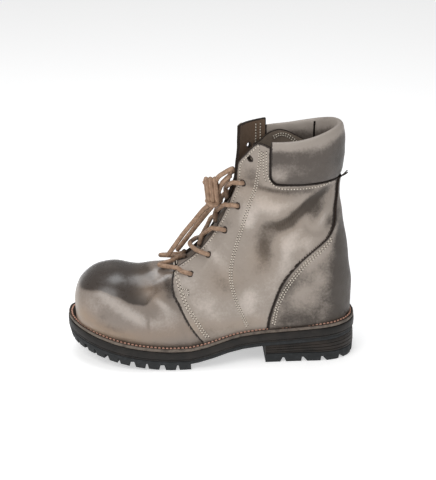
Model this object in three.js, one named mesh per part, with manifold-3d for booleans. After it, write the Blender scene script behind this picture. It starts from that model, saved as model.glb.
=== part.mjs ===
// A lace-up ankle boot, left foot: lugged rubber sole, leather midsole and welt,
// stacked heel, hollow leather upper with lapped quarters, counter, padded collar,
// tongue and laces. Toe towards -X, outer side towards -Y, sole on z = 0.
import * as THREE from 'three';
import { mergeVertices } from 'three/addons/utils/BufferGeometryUtils.js';
import Module from 'manifold-3d';

const wasm = await Module();
wasm.setup();

// Driving sizes of the sole, in millimetres
const soleLength = 304;
const ballWidth = 112;
const heelWidth = 78;
const heelLength = 97;
const foreLength = 128;
const toeSpring = 22;
const toeSway = 6;
const heelRise = 19;
const lugDepth = 7.2;
const rubberBase = 3;
const waistRubber = 3.7;
const midsoleThickness = 10;
const weltThickness = 3.4;
const liftHeight = 9.4;
const heelLugDepth = 5;
const insoleThickness = 3;
const gap = 0.3;

// Driving sizes of the upper
const weltMargin = 8.5;
const toeHeight = 73.5;
const instepHeight = 77.5;
const shaftRise = 150.5;
const collarHeight = 208;
const shaftLength = 104.5;
const shaftWidth = 72;
const backLean = 12.5;
const wall = 1.9;
const overlay = 1.5;
const tongueThickness = 2.2;
const throatGap = 27;
const throatAlong = 0.3746;
const padOut = 5.8;
const padIn = 4.4;
const padSeamUp = 0.6146;
const padAcross = 0.30;
const sink = 7;

// Laces and their holes
const laceDiameter = 5;
const holeDiameter = 5.2;

// Lugs: pitch of a pair at the breast, and how each next pair shrinks towards the toe
const lugPitch = 33;
const lugShrink = 0.07;
const lugPairs = 5;
const lugReach = 22;
const channelWidth = 5;
const heelLugPitch = 20.5;
const heelLugReach = 17;

const toeX = -soleLength / 2;
const heelX = soleLength / 2;
const breastX = toeX + foreLength;
const heelBreastX = heelX - heelLength;

// A table of named columns: each column becomes a smooth curve over the first
// column that passes through every row and never overshoots between rows.
function table(names, rows) {
  const at = rows.map((row) => row[0]);
  const curves = {};
  names.slice(1).forEach((name, index) => {
    curves[name] = smoothCurve(at, rows.map((row) => row[index + 1]));
  });
  return curves;
}

function smoothCurve(at, value) {
  const rise = value.slice(1).map((v, i) => (v - value[i]) / (at[i + 1] - at[i]));
  const slope = value.map((v, i) => {
    if (i === 0) return rise[0];
    if (i === value.length - 1) return rise[i - 1];
    if (rise[i - 1] * rise[i] <= 0) return 0;
    return 2 * rise[i - 1] * rise[i] / (rise[i - 1] + rise[i]);
  });
  return (place) => {
    const last = at.length - 2;
    let i = at.findIndex((a) => a > place) - 1;
    if (place <= at[0]) i = 0;
    if (place >= at[last + 1] || i < 0) i = place <= at[0] ? 0 : last;
    const span = at[i + 1] - at[i];
    const u = THREE.MathUtils.clamp((place - at[i]) / span, 0, 1);
    const ease = u * u * (3 - 2 * u);
    const start = value[i] + slope[i] * span * u * (1 - u) * (1 - u);
    return start + ease * (value[i + 1] - value[i]) - slope[i + 1] * span * u * u * (1 - u);
  };
}

// Half breadths of the sole about its middle line, as shares of half the ball
// width and half the heel width, along the length from the toe.
const outline = table(['along', 'outerBall', 'outerHeel', 'innerBall', 'innerHeel'], [
  [0.00, 0.91, 0.00, 0.97, 0.00],
  [0.15, 0.96, 0.00, 0.99, 0.00],
  [0.29, 0.99, 0.00, 1.00, 0.00],
  [0.35, 1.00, 0.00, 0.98, 0.00],
  [0.45, 0.965, 0.00, 0.88, 0.00],
  [0.54, 0.86, 0.00, 0.75, 0.00],
  [0.62, 0.38, 0.55, 0.30, 0.54],
  [0.70, 0.00, 1.02, 0.00, 0.96],
  [0.80, 0.00, 1.00, 0.00, 0.98],
  [1.00, 0.00, 1.00, 0.00, 1.00],
]);
const toeRound = 0.25;
const heelRound = 0.135;
const roundPower = 2.2;

// Rise of the sole behind the ball, as a share of heelRise
const arch = table(['along', 'rise'], [
  [0.42, 0.00],
  [0.47, 0.15],
  [0.54, 0.41],
  [0.605, 0.57],
  [0.68, 0.64],
  [0.79, 0.73],
  [0.87, 0.84],
  [1.00, 1.00],
]);
const springStart = 0.362;
const springPower = 1.7;

const share = (x) => (x - toeX) / soleLength;
const closed = 1e-9;
function endRound(u) {
  const rest = 1 - Math.pow(Math.max(0, u), roundPower);
  return rest > closed ? Math.pow(rest, 1 / roundPower) : 0;
}

// The middle line of the sole bends inwards in front of the ball
const swayEnd = 0.3;
function sway(x) {
  const u = THREE.MathUtils.clamp(1 - share(x) / swayEnd, 0, 1);
  return toeSway * u * u;
}

// Half breadth of the sole's outline drawn in by a margin; side is -1 outer, 1 inner
function halfBreadth(side, x, margin) {
  const u = THREE.MathUtils.clamp((x - toeX - margin) / (soleLength - 2 * margin), 0, 1);
  const ball = side < 0 ? outline.outerBall(u) : outline.innerBall(u);
  const heel = side < 0 ? outline.outerHeel(u) : outline.innerHeel(u);
  const full = (ball * ballWidth + heel * heelWidth) / 2 - margin;
  return full * endRound((toeRound - u) / toeRound) * endRound((u - 1 + heelRound) / heelRound);
}

const springAt = (x) => toeSpring * Math.pow(Math.max(0, 1 - share(x) / springStart), springPower);
const riseAt = (x) => (share(x) > 0.42 ? heelRise * arch.rise(share(x)) : 0);
const rubberTop = (x) => lugDepth + rubberBase + springAt(x) + riseAt(x);
const midsoleBottom = (x) => rubberTop(x) + gap;
const midsoleTop = (x) => midsoleBottom(x) + midsoleThickness;
const weltBottom = (x) => midsoleTop(x) + gap;
const feather = (x) => weltBottom(x) + weltThickness;

// Rubber thickness under the waist, thinning from the breast to waistRubber
function waistThickness(x) {
  const u = THREE.MathUtils.clamp((x - breastX) / (heelBreastX - breastX) * 2, 0, 1);
  return THREE.MathUtils.lerp(rubberBase + 1, waistRubber, u * (2 - u));
}
const waistBottom = (x) => rubberTop(x) - waistThickness(x);
const heelTop = (x) => rubberTop(x) - waistThickness(x) - gap;

// Solids
function toSolid(geometry) {
  const plain = geometry.clone();
  plain.deleteAttribute('normal');
  plain.deleteAttribute('uv');
  const merged = mergeVertices(plain, 1e-4);
  return new wasm.Manifold(new wasm.Mesh({
    numProp: 3,
    vertProperties: new Float32Array(merged.attributes.position.array),
    triVerts: new Uint32Array(merged.index.array),
  }));
}

function toGeometry(solid) {
  const mesh = solid.getMesh();
  const geometry = new THREE.BufferGeometry();
  geometry.setAttribute('position', new THREE.BufferAttribute(new Float32Array(mesh.vertProperties), 3));
  geometry.setIndex(new THREE.BufferAttribute(new Uint32Array(mesh.triVerts), 1));
  geometry.computeVertexNormals();
  return geometry;
}

// Closed skin over a list of loops with equal numbers of points. The two ends are
// closed by strips across each loop, from point i to its mirror point.
function skin(loops, flip = false) {
  const count = loops[0].length;
  const position = loops.flat().flatMap((p) => [p.x, p.y, p.z]);
  const index = [];
  const face = (a, b, c) => (flip ? index.push(a, c, b) : index.push(a, b, c));
  for (let j = 0; j < loops.length - 1; j += 1) {
    for (let i = 0; i < count; i += 1) {
      const a = j * count + i;
      const b = j * count + (i + 1) % count;
      face(a, b, b + count);
      face(a, b + count, a + count);
    }
  }
  const top = (loops.length - 1) * count;
  for (let i = 0; i < count / 2 - 1; i += 1) {
    const m = count - 1 - i;
    face(i + 1, i, m);
    face(i + 1, m, m - 1);
    face(top + i, top + i + 1, top + m);
    face(top + i + 1, top + m - 1, top + m);
  }
  const geometry = new THREE.BufferGeometry();
  geometry.setAttribute('position', new THREE.BufferAttribute(new Float32Array(position), 3));
  geometry.setIndex(dropEmpty(position, index));
  return toSolid(geometry);
}

// Faces whose corners coincide, as at a closed nose, are left out
function dropEmpty(position, index) {
  const key = (i) => position.slice(3 * i, 3 * i + 3).map((v) => Math.round(v * 1e3)).join();
  const kept = [];
  for (let i = 0; i < index.length; i += 3) {
    const corners = [key(index[i]), key(index[i + 1]), key(index[i + 2])];
    if (new Set(corners).size === 3) kept.push(...index.slice(i, i + 3));
  }
  return kept;
}

// Extruded side view: points are (x, z) pairs, and the prism runs from y0 to y1
function sidePrism(points, y0, y1) {
  const shape = new THREE.Shape(points.map(([x, z]) => new THREE.Vector2(x, z)));
  const geometry = new THREE.ExtrudeGeometry(shape, { depth: y1 - y0, bevelEnabled: false });
  geometry.rotateX(Math.PI / 2);
  geometry.translate(0, y1, 0);
  return toSolid(geometry);
}

// Smooth line through a few side-view points
function fairLine(points, steps) {
  const line = new THREE.SplineCurve(points.map(([x, z]) => new THREE.Vector2(x, z)));
  return line.getPoints(steps).map((p) => [p.x, p.y]);
}

// Sole: edge stations, denser at the round ends, with exact places kept
const stationCount = 28;
function stations(from, to, keep = []) {
  const xs = [];
  for (let i = 0; i <= stationCount; i += 1) {
    const turn = Math.PI * i / stationCount;
    const even = i / stationCount;
    xs.push(THREE.MathUtils.lerp(even, (1 - Math.cos(turn)) / 2, 0.75) * soleLength + toeX);
  }
  const inside = xs.filter((x) => x > from + 1.5 && x < to - 1.5);
  const clear = inside.filter((x) => keep.every((k) => Math.abs(k - x) > 1.5));
  return [from, ...clear, ...keep, to].sort((a, b) => a - b);
}

// One ring of the sole's outline, drawn in by margin, at the height given by level(x)
function ring(xs, margin, level) {
  const draw = (side) => xs.map((x) => {
    const u = THREE.MathUtils.lerp(x, 0, 2 * margin / soleLength);
    const y = sway(u) + side * halfBreadth(side, u, margin);
    return new THREE.Vector3(u, y, level(u));
  });
  return [...draw(-1), ...draw(1).reverse()];
}

// A layer of the sole between two levels; edge rows are [share of the height, margin]
function layer(from, to, bottom, top, edge, keep = []) {
  const xs = stations(from, to, keep);
  const rings = edge.map(([up, margin]) => {
    const level = (x) => THREE.MathUtils.lerp(bottom(x), top(x), up);
    return ring(xs, margin, level);
  });
  return skin(rings);
}

const flatEdge = (margin, round) => [[0, margin + round], [0.12, margin], [0.88, margin], [1, margin + round]];

// Points along the sole's edge measured from the forepart's breast or the heel's breast
function edgeWalk(side, start, direction) {
  const walk = [];
  let travelled = 0;
  let before = null;
  for (let x = start; direction < 0 ? x >= toeX : x <= heelX; x += direction * 0.25) {
    const p = new THREE.Vector3(x, sway(x) + side * halfBreadth(side, x, 0), 0);
    if (before) travelled += p.distanceTo(before);
    walk.push({ p, travelled });
    before = p;
  }
  return (distance) => {
    const i = THREE.MathUtils.clamp(walk.findIndex((w) => w.travelled >= distance), 1, walk.length - 1);
    const tangent = walk[i].p.clone().sub(walk[i - 1].p).normalize();
    const inward = new THREE.Vector3(-tangent.y, tangent.x, 0);
    if (inward.y * side > 0) inward.negate();
    return { p: walk[i].p, inward, end: walk[walk.length - 1].travelled };
  };
}

// A groove cut in from the edge: root and mouth are its widths at the root and the floor.
// It runs inwards at the slope of the sole over it, and straight down under the floor.
const grooveUnder = 4;
function groove(place, root, mouth, slant, depth, floor, reach, slope = 0) {
  const over = 6;
  const flare = (mouth - root) / 2;
  const left = -root / 2 - flare * (1 - slant);
  const right = root / 2 + flare * (1 + slant);
  const shape = new THREE.Shape([
    new THREE.Vector2(left, -grooveUnder),
    new THREE.Vector2(right, -grooveUnder),
    new THREE.Vector2(right, 0),
    new THREE.Vector2(root / 2, depth),
    new THREE.Vector2(-root / 2, depth),
    new THREE.Vector2(left, 0),
  ]);
  const geometry = new THREE.ExtrudeGeometry(shape, { depth: reach + over, bevelEnabled: false });
  geometry.translate(0, 0, -over);
  const up = new THREE.Vector3(0, 0, 1);
  const sideways = new THREE.Vector3().crossVectors(up, place.inward);
  const run = place.inward.clone().setZ(slope);
  const turn = new THREE.Matrix4().makeBasis(sideways, up, run);
  turn.setPosition(place.p.x, place.p.y, floor);
  geometry.applyMatrix4(turn);
  return toSolid(geometry);
}

// Forepart lugs stand in pairs: lug, narrow notch, lug, wide groove, as shares of a pair
const pairShares = { lug: 0.345, notch: 0.127, second: 0.31, groove: 0.218 };

function foreGrooves(side) {
  const walk = edgeWalk(side, breastX, -1);
  const cuts = [];
  let start = 0;
  const cut = (at, width, root) => {
    const place = walk(at);
    const floor = springAt(place.p.x);
    const slope = (springAt(place.p.x + place.inward.x * lugReach) - floor) / lugReach;
    cuts.push(groove(place, root, width, 0, lugDepth - 1, floor, lugReach, slope));
  };
  for (let pair = 0; pair < lugPairs; pair += 1) {
    const pitch = lugPitch * (1 - lugShrink * pair);
    const notch = start + pitch * (pairShares.lug + pairShares.notch / 2);
    const wide = start + pitch * (1 - pairShares.groove / 2);
    cut(notch, pitch * pairShares.notch, pitch * pairShares.notch * 0.35);
    cut(wide, pitch * pairShares.groove, pitch * pairShares.groove * 0.55);
    start += pitch;
  }
  return cuts;
}

// Closed loop channel between the edge lugs and the middle bars
function channel(from, to, level, depth, reach) {
  const bottom = (x) => level(x) - 3;
  const top = (x) => level(x) + depth;
  const whole = layer(from, to, bottom, top, [[0, reach], [1, reach]]);
  const middle = layer(from, to, (x) => bottom(x) - 1, (x) => top(x) + 1,
    [[0, reach + channelWidth], [1, reach + channelWidth]]);
  return whole.subtract(middle);
}

function crossGroove(x, width, halfLength, depth, floor) {
  const box = new THREE.BoxGeometry(width, 2 * halfLength, depth + 3);
  box.translate(x, 0, floor + (depth - 3) / 2);
  return toSolid(box);
}

function makeOutsole() {
  const edge = [[0, 2.6], [0.55, 0.8], [0.9, 0.3], [1, 0.8]];
  const fore = layer(toeX, breastX, springAt, rubberTop, edge, [toeX + springStart * soleLength]);
  const back = layer(breastX - 4, heelX, waistBottom, rubberTop, [[0, 1.2], [0.5, 0.9], [1, 1.2]], [heelBreastX]);
  let sole = fore.add(back);
  for (const side of [-1, 1]) {
    for (const cut of foreGrooves(side)) sole = sole.subtract(cut);
  }
  sole = sole.subtract(channel(toeX, breastX + 8, springAt, lugDepth - 1.5, lugReach));
  const barPitch = lugPitch * 0.74;
  for (let bar = 1; bar < 5; bar += 1) {
    const x = breastX - bar * barPitch;
    sole = sole.subtract(crossGroove(x, channelWidth, ballWidth / 2 - lugReach - 2, lugDepth - 1.5, springAt(x)));
  }
  return sole;
}

const makeMidsole = () => layer(toeX, heelX, midsoleBottom, midsoleTop, flatEdge(0.3, 0.6), [heelBreastX]);

function makeHeelStack() {
  const bottom = () => liftHeight + gap;
  return layer(heelBreastX, heelX, bottom, heelTop, [[0, 0.9], [0.1, 0.5], [0.9, 1.1], [1, 1.5]]);
}

function makeHeelLift() {
  const level = () => 0;
  const top = () => liftHeight;
  let lift = layer(heelBreastX, heelX, level, top, [[0, 0.6], [0.4, 0], [0.92, 0.3], [1, 0.6]]);
  for (const side of [-1, 1]) {
    const walk = edgeWalk(side, heelBreastX, 1);
    for (let i = 1; i * heelLugPitch < walk(0).end - 6; i += 1) {
      const place = walk(i * heelLugPitch - 2);
      const lean = i === 1 ? 0 : 0.75 * side;
      lift = lift.subtract(groove(place, 1.8, 6.4, lean, heelLugDepth, 0, heelLugReach));
    }
  }
  const from = heelBreastX + heelLugReach;
  return lift.subtract(channel(from, heelX - 2, level, heelLugDepth - 1, heelLugReach + 1));
}

// The upper's sections fan from the toe, over the foot, round the heel and up the
// shaft. Each row gives the lower end of a section in the side view (foot: share
// along the lasting line; lean and rise: up the back), its upper end (top: share
// along the same line; front: share of the way from throat to collar front; toe,
// instep and shaft: shares of those heights), its outer and inner half breadth,
// leg: how far those are shares of the shaft's width instead of the ball's,
// widest: how far up the section it is widest, and crown: how full it closes.
const sectionNames = ['section', 'foot', 'lean', 'rise', 'top', 'front', 'toe', 'instep', 'shaft',
  'outer', 'inner', 'leg', 'widest', 'crown'];
const sectionRows = [
  [0.000, 0.00, 0.00, -0.003, 0.00, 0.450, 0.00, 0.00, 0.000, 0.000, 0.00, 0.32, 2.30],
  [0.004, 0.00, 0.00, 0.000, 0.00, 0.560, 0.00, 0.00, 0.270, 0.300, 0.00, 0.32, 2.30],
  [0.018, 0.00, 0.00, 0.013, 0.00, 0.720, 0.00, 0.00, 0.500, 0.540, 0.00, 0.33, 2.30],
  [0.046, 0.00, 0.00, 0.044, 0.00, 0.865, 0.00, 0.00, 0.680, 0.710, 0.00, 0.33, 2.32],
  [0.092, 0.00, 0.00, 0.091, 0.00, 0.965, 0.00, 0.00, 0.805, 0.830, 0.00, 0.33, 2.35],
  [0.150, 0.00, 0.00, 0.148, 0.00, 1.000, 0.00, 0.00, 0.870, 0.885, 0.00, 0.32, 2.32],
  [0.228, 0.00, 0.00, 0.221, 0.00, 0.700, 0.25, 0.00, 0.905, 0.895, 0.00, 0.30, 2.15],
  [0.318, 0.00, 0.00, 0.298, 0.00, 0.200, 0.77, 0.00, 0.905, 0.875, 0.00, 0.28, 2.00],
  [0.412, 0.00, 0.00, throatAlong, 0.00, 0.000, 1.00, 0.00, 0.870, 0.815, 0.00, 0.27, 1.90],
  [0.500, 0.00, 0.00, throatAlong, 0.27, 0.000, 1.00, 0.093, 0.910, 0.840, 0.30, 0.28, 1.85],
  [0.587, 0.00, 0.00, throatAlong, 0.53, 0.000, 1.00, 0.223, 0.965, 0.900, 0.60, 0.32, 1.85],
  [0.681, 0.00, 0.00, throatAlong, 0.68, 0.000, 1.00, 0.349, 1.020, 0.970, 0.85, 0.37, 1.88],
  [0.793, 0.00, 0.00, throatAlong, 0.80, 0.000, 1.00, 0.462, 1.060, 1.020, 1.00, 0.42, 1.92],
  [0.890, 0.00, 0.00, throatAlong, 0.865, 0.000, 1.00, 0.548, 1.040, 1.010, 1.00, 0.45, 1.97],
  [0.955, 0.00, 0.00, throatAlong, 0.900, 0.000, 1.00, 0.601, 1.020, 1.000, 1.00, 0.46, 2.00],
  [0.990, 0.00, 0.00, throatAlong, 0.915, 0.000, 1.00, 0.641, 1.010, 0.995, 1.00, 0.46, 2.03],
  [1.000, 0.00, 0.00, throatAlong, 0.925, 0.000, 1.00, 0.674, 1.000, 0.990, 1.00, 0.46, 2.05],
  [1.000, -0.06, 0.10, throatAlong, 0.935, 0.000, 1.00, 0.708, 0.995, 0.985, 1.00, 0.46, 2.08],
  [1.000, -0.04, 0.20, throatAlong, 0.945, 0.000, 1.00, 0.741, 0.985, 0.975, 1.00, 0.46, 2.10],
  [1.000, 0.22, 0.31, throatAlong, 0.955, 0.000, 1.00, 0.774, 0.975, 0.965, 1.00, 0.46, 2.10],
  [1.000, 0.50, 0.435, throatAlong, 0.965, 0.000, 1.00, 0.814, 0.965, 0.955, 1.00, 0.46, 2.12],
  [1.000, 0.88, 0.555, throatAlong, 0.972, 0.000, 1.00, 0.847, 0.960, 0.955, 1.00, 0.46, 2.15],
  [1.000, 1.14, 0.675, throatAlong, 0.980, 0.000, 1.00, 0.887, 0.965, 0.960, 1.00, 0.46, 2.15],
  [1.000, 1.02, 0.82, throatAlong, 0.987, 0.000, 1.00, 0.934, 0.980, 0.975, 1.00, 0.47, 2.18],
  [1.000, 0.96, 0.965, throatAlong, 0.995, 0.000, 1.00, 0.980, 1.000, 1.000, 1.00, 0.47, 2.20],
  [1.000, 1.02, 1.09, throatAlong, 1.000, 0.000, 1.00, 1.040, 1.010, 1.010, 1.00, 0.47, 2.20],
];
const lastSection = sectionRows.length - 1;
const last = table(sectionNames, sectionRows.map((row, index) => [index, ...row]));

const lastingX = (along) => toeX + weltMargin + along * (soleLength - 2 * weltMargin);
const collarFrontX = lastingX(1) - backLean - shaftLength;
const frontRun = collarFrontX - lastingX(throatAlong);
const footLevel = feather(breastX);

// Lower and upper end of a section in the side view
function chord(k) {
  const x = lastingX(last.foot(k));
  const bottom = new THREE.Vector2(x - last.lean(k) * backLean, feather(x) - sink + last.rise(k) * collarHeight);
  const high = last.toe(k) * toeHeight + last.instep(k) * instepHeight + last.shaft(k) * shaftRise;
  const top = new THREE.Vector2(lastingX(last.top(k)) + last.front(k) * frontRun, footLevel + high);
  return { bottom, top };
}

// Half breadth of a section at the share t of its chord
function breadth(k, t, side) {
  const part = side < 0 ? last.outer(k) : last.inner(k);
  const full = part * THREE.MathUtils.lerp(ballWidth, shaftWidth, last.leg(k)) / 2;
  const widest = last.widest(k);
  if (t >= widest) {
    const crown = last.crown(k);
    return full * Math.pow(Math.max(0, 1 - Math.pow((t - widest) / (1 - widest), crown)), 1 / crown);
  }
  const foot = full > 0 ? Math.min(1, halfBreadth(side, lastingX(last.foot(k)), weltMargin) / full) : 1;
  const base = last.rise(k) > 0 ? 0 : foot;
  const u = 1 - t / widest;
  return full * (base + (1 - base) * Math.pow(Math.max(0, 1 - u * u), 0.5 + 0.5 * base));
}

function surface(k, turn, side) {
  const t = (1 - Math.cos(turn)) / 2;
  const { bottom, top } = chord(k);
  const y = sway(lastingX(last.foot(k))) + side * breadth(k, t, side);
  return new THREE.Vector3(THREE.MathUtils.lerp(bottom.x, top.x, t), y, THREE.MathUtils.lerp(bottom.y, top.y, t));
}

// Outward direction; on the top and back lines it lies in the side view
function outward(k, turn, side) {
  const step = 0.02;
  const k0 = Math.max(0, k - step);
  const k1 = Math.min(lastSection, k + step);
  if (k < step) return new THREE.Vector3(-1, 0, 0);
  const onTop = turn > Math.PI - step;
  if (onTop || (turn < step && last.rise(k) > 0)) {
    const end = onTop ? 'top' : 'bottom';
    const run = chord(k1)[end].sub(chord(k0)[end]).normalize();
    return onTop ? new THREE.Vector3(-run.y, 0, run.x) : new THREE.Vector3(run.y, 0, -run.x);
  }
  const along = surface(k1, turn, side).sub(surface(k0, turn, side));
  const around = surface(k, Math.min(Math.PI, turn + step), side).sub(surface(k, Math.max(0, turn - step), side));
  const normal = new THREE.Vector3().crossVectors(along, around).normalize();
  if (side > 0) normal.negate();
  return normal;
}

// The section and the share of its chord that a side-view point lies on
function locate(x, z) {
  const passed = (k) => {
    const { bottom, top } = chord(k);
    return (top.x - bottom.x) * (z - bottom.y) - (top.y - bottom.y) * (x - bottom.x);
  };
  let low = 0;
  let high = lastSection;
  for (let i = 0; i < 40; i += 1) {
    const middle = (low + high) / 2;
    if (passed(middle) < 0) low = middle;
    else high = middle;
  }
  const { bottom, top } = chord(low);
  const run = top.clone().sub(bottom);
  const t = THREE.MathUtils.clamp(new THREE.Vector2(x, z).sub(bottom).dot(run) / run.lengthSq(), 0, 1);
  return { k: low, turn: Math.acos(1 - 2 * t) };
}

function onUpper(side, x, z, offset) {
  const { k, turn } = locate(x, z);
  return surface(k, turn, side).addScaledVector(outward(k, turn, side), offset);
}

// The whole form of the upper, grown or shrunk by an offset, and leaned back where asked
const formSections = [0, 1, 2, 3, 4, 5, 6, 7, 8, 9, 10.5, 12, 13.2, 14.2, 15, 15.6, 16.3, 17.5, 19, 20.5, 22, 23.5,
  lastSection];
const turnSteps = 8;
function form(offset, reach = 0, lean = () => 0) {
  const grow = typeof offset === 'function' ? offset : () => offset;
  const loops = [];
  for (const k of formSections) {
    const draw = (side) => Array.from({ length: turnSteps + 1 }, (_, i) => {
      const turn = Math.PI * i / turnSteps;
      const p = surface(k, turn, side);
      const back = lean(p);
      p.addScaledVector(outward(k, turn, side), grow(p));
      return p.setX(p.x + back);
    });
    loops.push([...draw(-1), ...draw(1).reverse()]);
  }
  if (reach > 0) loops.push(loops[loops.length - 1].map((p) => p.clone().setZ(p.z + reach)));
  return skin(loops, true);
}

// Side-view places: along the lasting line and up the boot, or across and up the shaft
const legHeight = instepHeight + shaftRise;
const spot = (along, up) => [lastingX(along), footLevel + up * legHeight];
const shaftSpot = (across, up) => [collarFrontX + across * shaftLength, footLevel + instepHeight + up * shaftRise];
const far = 400;

// Height of the rim over the shaft, and the top edges of the two facings
const rim = table(['across', 'up'], [
  [0.30, 0.905],
  [0.51, 0.914],
  [0.70, 0.937],
  [0.85, 0.963],
  [1.00, 0.987],
  [1.15, 0.990],
]);
const outerFacingTop = [[-0.158, 0.648], [-0.024, 0.668], [0.005, 0.721], [0.043, 0.774], [0.10, 0.831],
  [0.158, 0.884], [0.196, 0.896], [0.244, 0.887], [0.32, 0.865]];
const innerFacingTop = [[-0.158, 0.867], [-0.043, 0.880], [-0.005, 0.917], [0.043, 0.937], [0.177, 0.947],
  [0.32, 0.955]];
// Front edge of the quarters over the vamp, and front edge of the counter
const vampSeam = [[0.41, 0.42], [0.385, 0.368], [0.371, 0.340], [0.360, 0.307], [0.354, 0.272], [0.359, 0.235],
  [0.376, 0.195], [0.411, 0.1075], [0.446, 0.040], [0.472, 0.00], [0.50, -0.05]];
const counterEdge = [[0.683, -0.06], [0.690, 0.01], [0.6986, 0.057], [0.7056, 0.123], [0.723, 0.197],
  [0.7533, 0.294], [0.806, 0.379], [0.859, 0.441], [0.9077, 0.4934], [0.9286, 0.546], [0.9314, 0.614],
  [0.9408, 0.684], [0.944, 0.80]];
// The tongue in the side view, and how far its middle leans back at the top
const tongueEdge = [[0.29, 0.27], [0.43, 0.245], [0.52, 0.35], [0.60, 0.485], [0.675, 0.614], [0.772, 0.754],
  [0.85, 0.85], [0.80, 0.90], [0.752, 0.921], [0.71, 0.908], [0.665, 0.872], [0.58, 0.86], [0.29, 0.86]];
const tongueLean = 15;
const tuckRun = 34;

const padFront = collarFrontX + padAcross * shaftLength;
const padSeam = footLevel + instepHeight + padSeamUp * shaftRise;
const rimAt = (x) => footLevel + instepHeight + rim.up((x - collarFrontX) / shaftLength) * shaftRise;

// Everything below a level, wider than the sole, to trim what stands on it
const wide = -12;
const underFloor = -20;
const below = (level) => layer(toeX, heelX, () => underFloor, level, [[0, wide], [1, wide]]);

// Where the front and back lines of the upper stand at a height
function lineAt(end, from, z) {
  let low = from;
  let high = lastSection;
  for (let i = 0; i < 30; i += 1) {
    const middle = (low + high) / 2;
    if (chord(middle)[end].y < z) low = middle;
    else high = middle;
  }
  return chord(low)[end].x;
}
const frontAt = (z) => lineAt('top', 8, z);
const backAt = (z) => lineAt('bottom', 16, z);

// The throat is cut by its front view inside the front half of the side view
function throatCut(low, rounded) {
  const half = throatGap / 2;
  const shape = new THREE.Shape();
  shape.moveTo(half, low + (rounded ? half : 0));
  shape.lineTo(half, far);
  shape.lineTo(-half, far);
  shape.lineTo(-half, low + (rounded ? half : 0));
  if (rounded) shape.absarc(0, low + half, half, Math.PI, 2 * Math.PI, false);
  const front = new THREE.ExtrudeGeometry(shape, { depth: soleLength, bevelEnabled: false, curveSegments: 8 });
  front.rotateX(Math.PI / 2);
  front.rotateZ(Math.PI / 2);
  front.translate(-soleLength / 2, 0, 0);
  const side = [[0.29, 0.23], [0.465, 0.30], [0.55, 0.45], [0.66, 0.72], [0.70, 1.3], [0.29, 1.3]];
  return toSolid(front).intersect(sidePrism(side.map(([a, u]) => spot(a, u)), -ballWidth, ballWidth));
}

function topCut(points, y0, y1) {
  const edge = fairLine(points.map(([a, u]) => shaftSpot(a, u)), 20);
  const end = edge[edge.length - 1];
  return sidePrism([...edge, [end[0], far], [edge[0][0], far]], y0, y1);
}

// The window that the padded collar fills, with its rounded front corner
function padWindow(margin) {
  const radius = 9;
  const x = padFront - margin;
  const z = padSeam - margin;
  const corner = [];
  for (let i = 0; i <= 5; i += 1) {
    const turn = Math.PI / 2 * i / 5;
    corner.push([x + radius * (1 - Math.cos(turn)), z + radius * (1 - Math.sin(turn))]);
  }
  return sidePrism([[x, far], ...corner, [heelX + radius, z], [heelX + radius, far]], -ballWidth, ballWidth);
}

// Lace holes: heights as shares of the shaft's rise, breadths as shares of half its width
const holeRows = [[0.781, 0.658], [0.602, 0.547], [0.440, 0.583], [0.268, 0.600], [0.095, 0.656], [-0.037, 0.756]];
const holeUps = holeRows.map(([up]) => up);
const holeBreadths = holeRows.map(([, across]) => across * shaftWidth / 2);
const vampAlong = 0.3;
const holeHeight = (up) => footLevel + instepHeight + up * shaftRise;

// Front place on the upper at a height where it is a given half breadth
function atBreadth(side, y, z, offset) {
  let low = lastingX(vampAlong);
  let high = collarFrontX + shaftLength * 0.4;
  if (z > footLevel + instepHeight) low = frontAt(z);
  for (let i = 0; i < 30; i += 1) {
    const middle = (low + high) / 2;
    if (Math.abs(onUpper(side, middle, z, 0).y) < y) low = middle;
    else high = middle;
  }
  return onUpper(side, low, z, offset);
}

function holes() {
  const cuts = [];
  for (const side of [-1, 1]) {
    for (const [row, up] of holeUps.entries()) {
      const inner = atBreadth(side, holeBreadths[row], holeHeight(up), -6);
      const outer = atBreadth(side, holeBreadths[row], holeHeight(up), 6);
      const pin = new THREE.CylinderGeometry(holeDiameter / 2, holeDiameter / 2, inner.distanceTo(outer), 8);
      const up0 = new THREE.Vector3(0, 1, 0);
      pin.applyQuaternion(new THREE.Quaternion().setFromUnitVectors(up0, outer.clone().sub(inner).normalize()));
      const middle = inner.add(outer).multiplyScalar(0.5);
      pin.translate(middle.x, middle.y, middle.z);
      cuts.push(toSolid(pin));
    }
  }
  return cuts;
}

const holeCuts = holes();
const cutAll = (solid, cuts) => cuts.reduce((left, cut) => left.subtract(cut), solid);
const facingCuts = [topCut(outerFacingTop, -ballWidth, 0), topCut(innerFacingTop, 0, ballWidth), padWindow(gap)];

function makeUpper() {
  const shell = form(0).subtract(form(-wall, 12));
  const cuts = [below((x) => midsoleTop(x) + gap), throatCut(footLevel + instepHeight + 1, true)];
  return cutAll(shell, [...cuts, ...facingCuts, ...holeCuts]);
}

function makeQuarters() {
  const skinned = form(gap + overlay).subtract(form(gap, 12));
  const seam = fairLine(vampSeam.map(([a, u]) => spot(a, u)), 30);
  const behind = sidePrism([...seam, [heelX - wide, underFloor], [heelX - wide, far], [seam[0][0], far]],
    -ballWidth, ballWidth);
  const cuts = [below((x) => feather(x) + gap), throatCut(footLevel + instepHeight / 4, false)];
  const both = cutAll(skinned.intersect(behind), [...cuts, ...facingCuts, ...holeCuts]);
  const split = gap / 2;
  const half = (y0, y1) => both.intersect(sidePrism([[-far, -far], [far, -far], [far, far], [-far, far]], y0, y1));
  return [half(-far, -split), half(split, far)];
}

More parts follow.
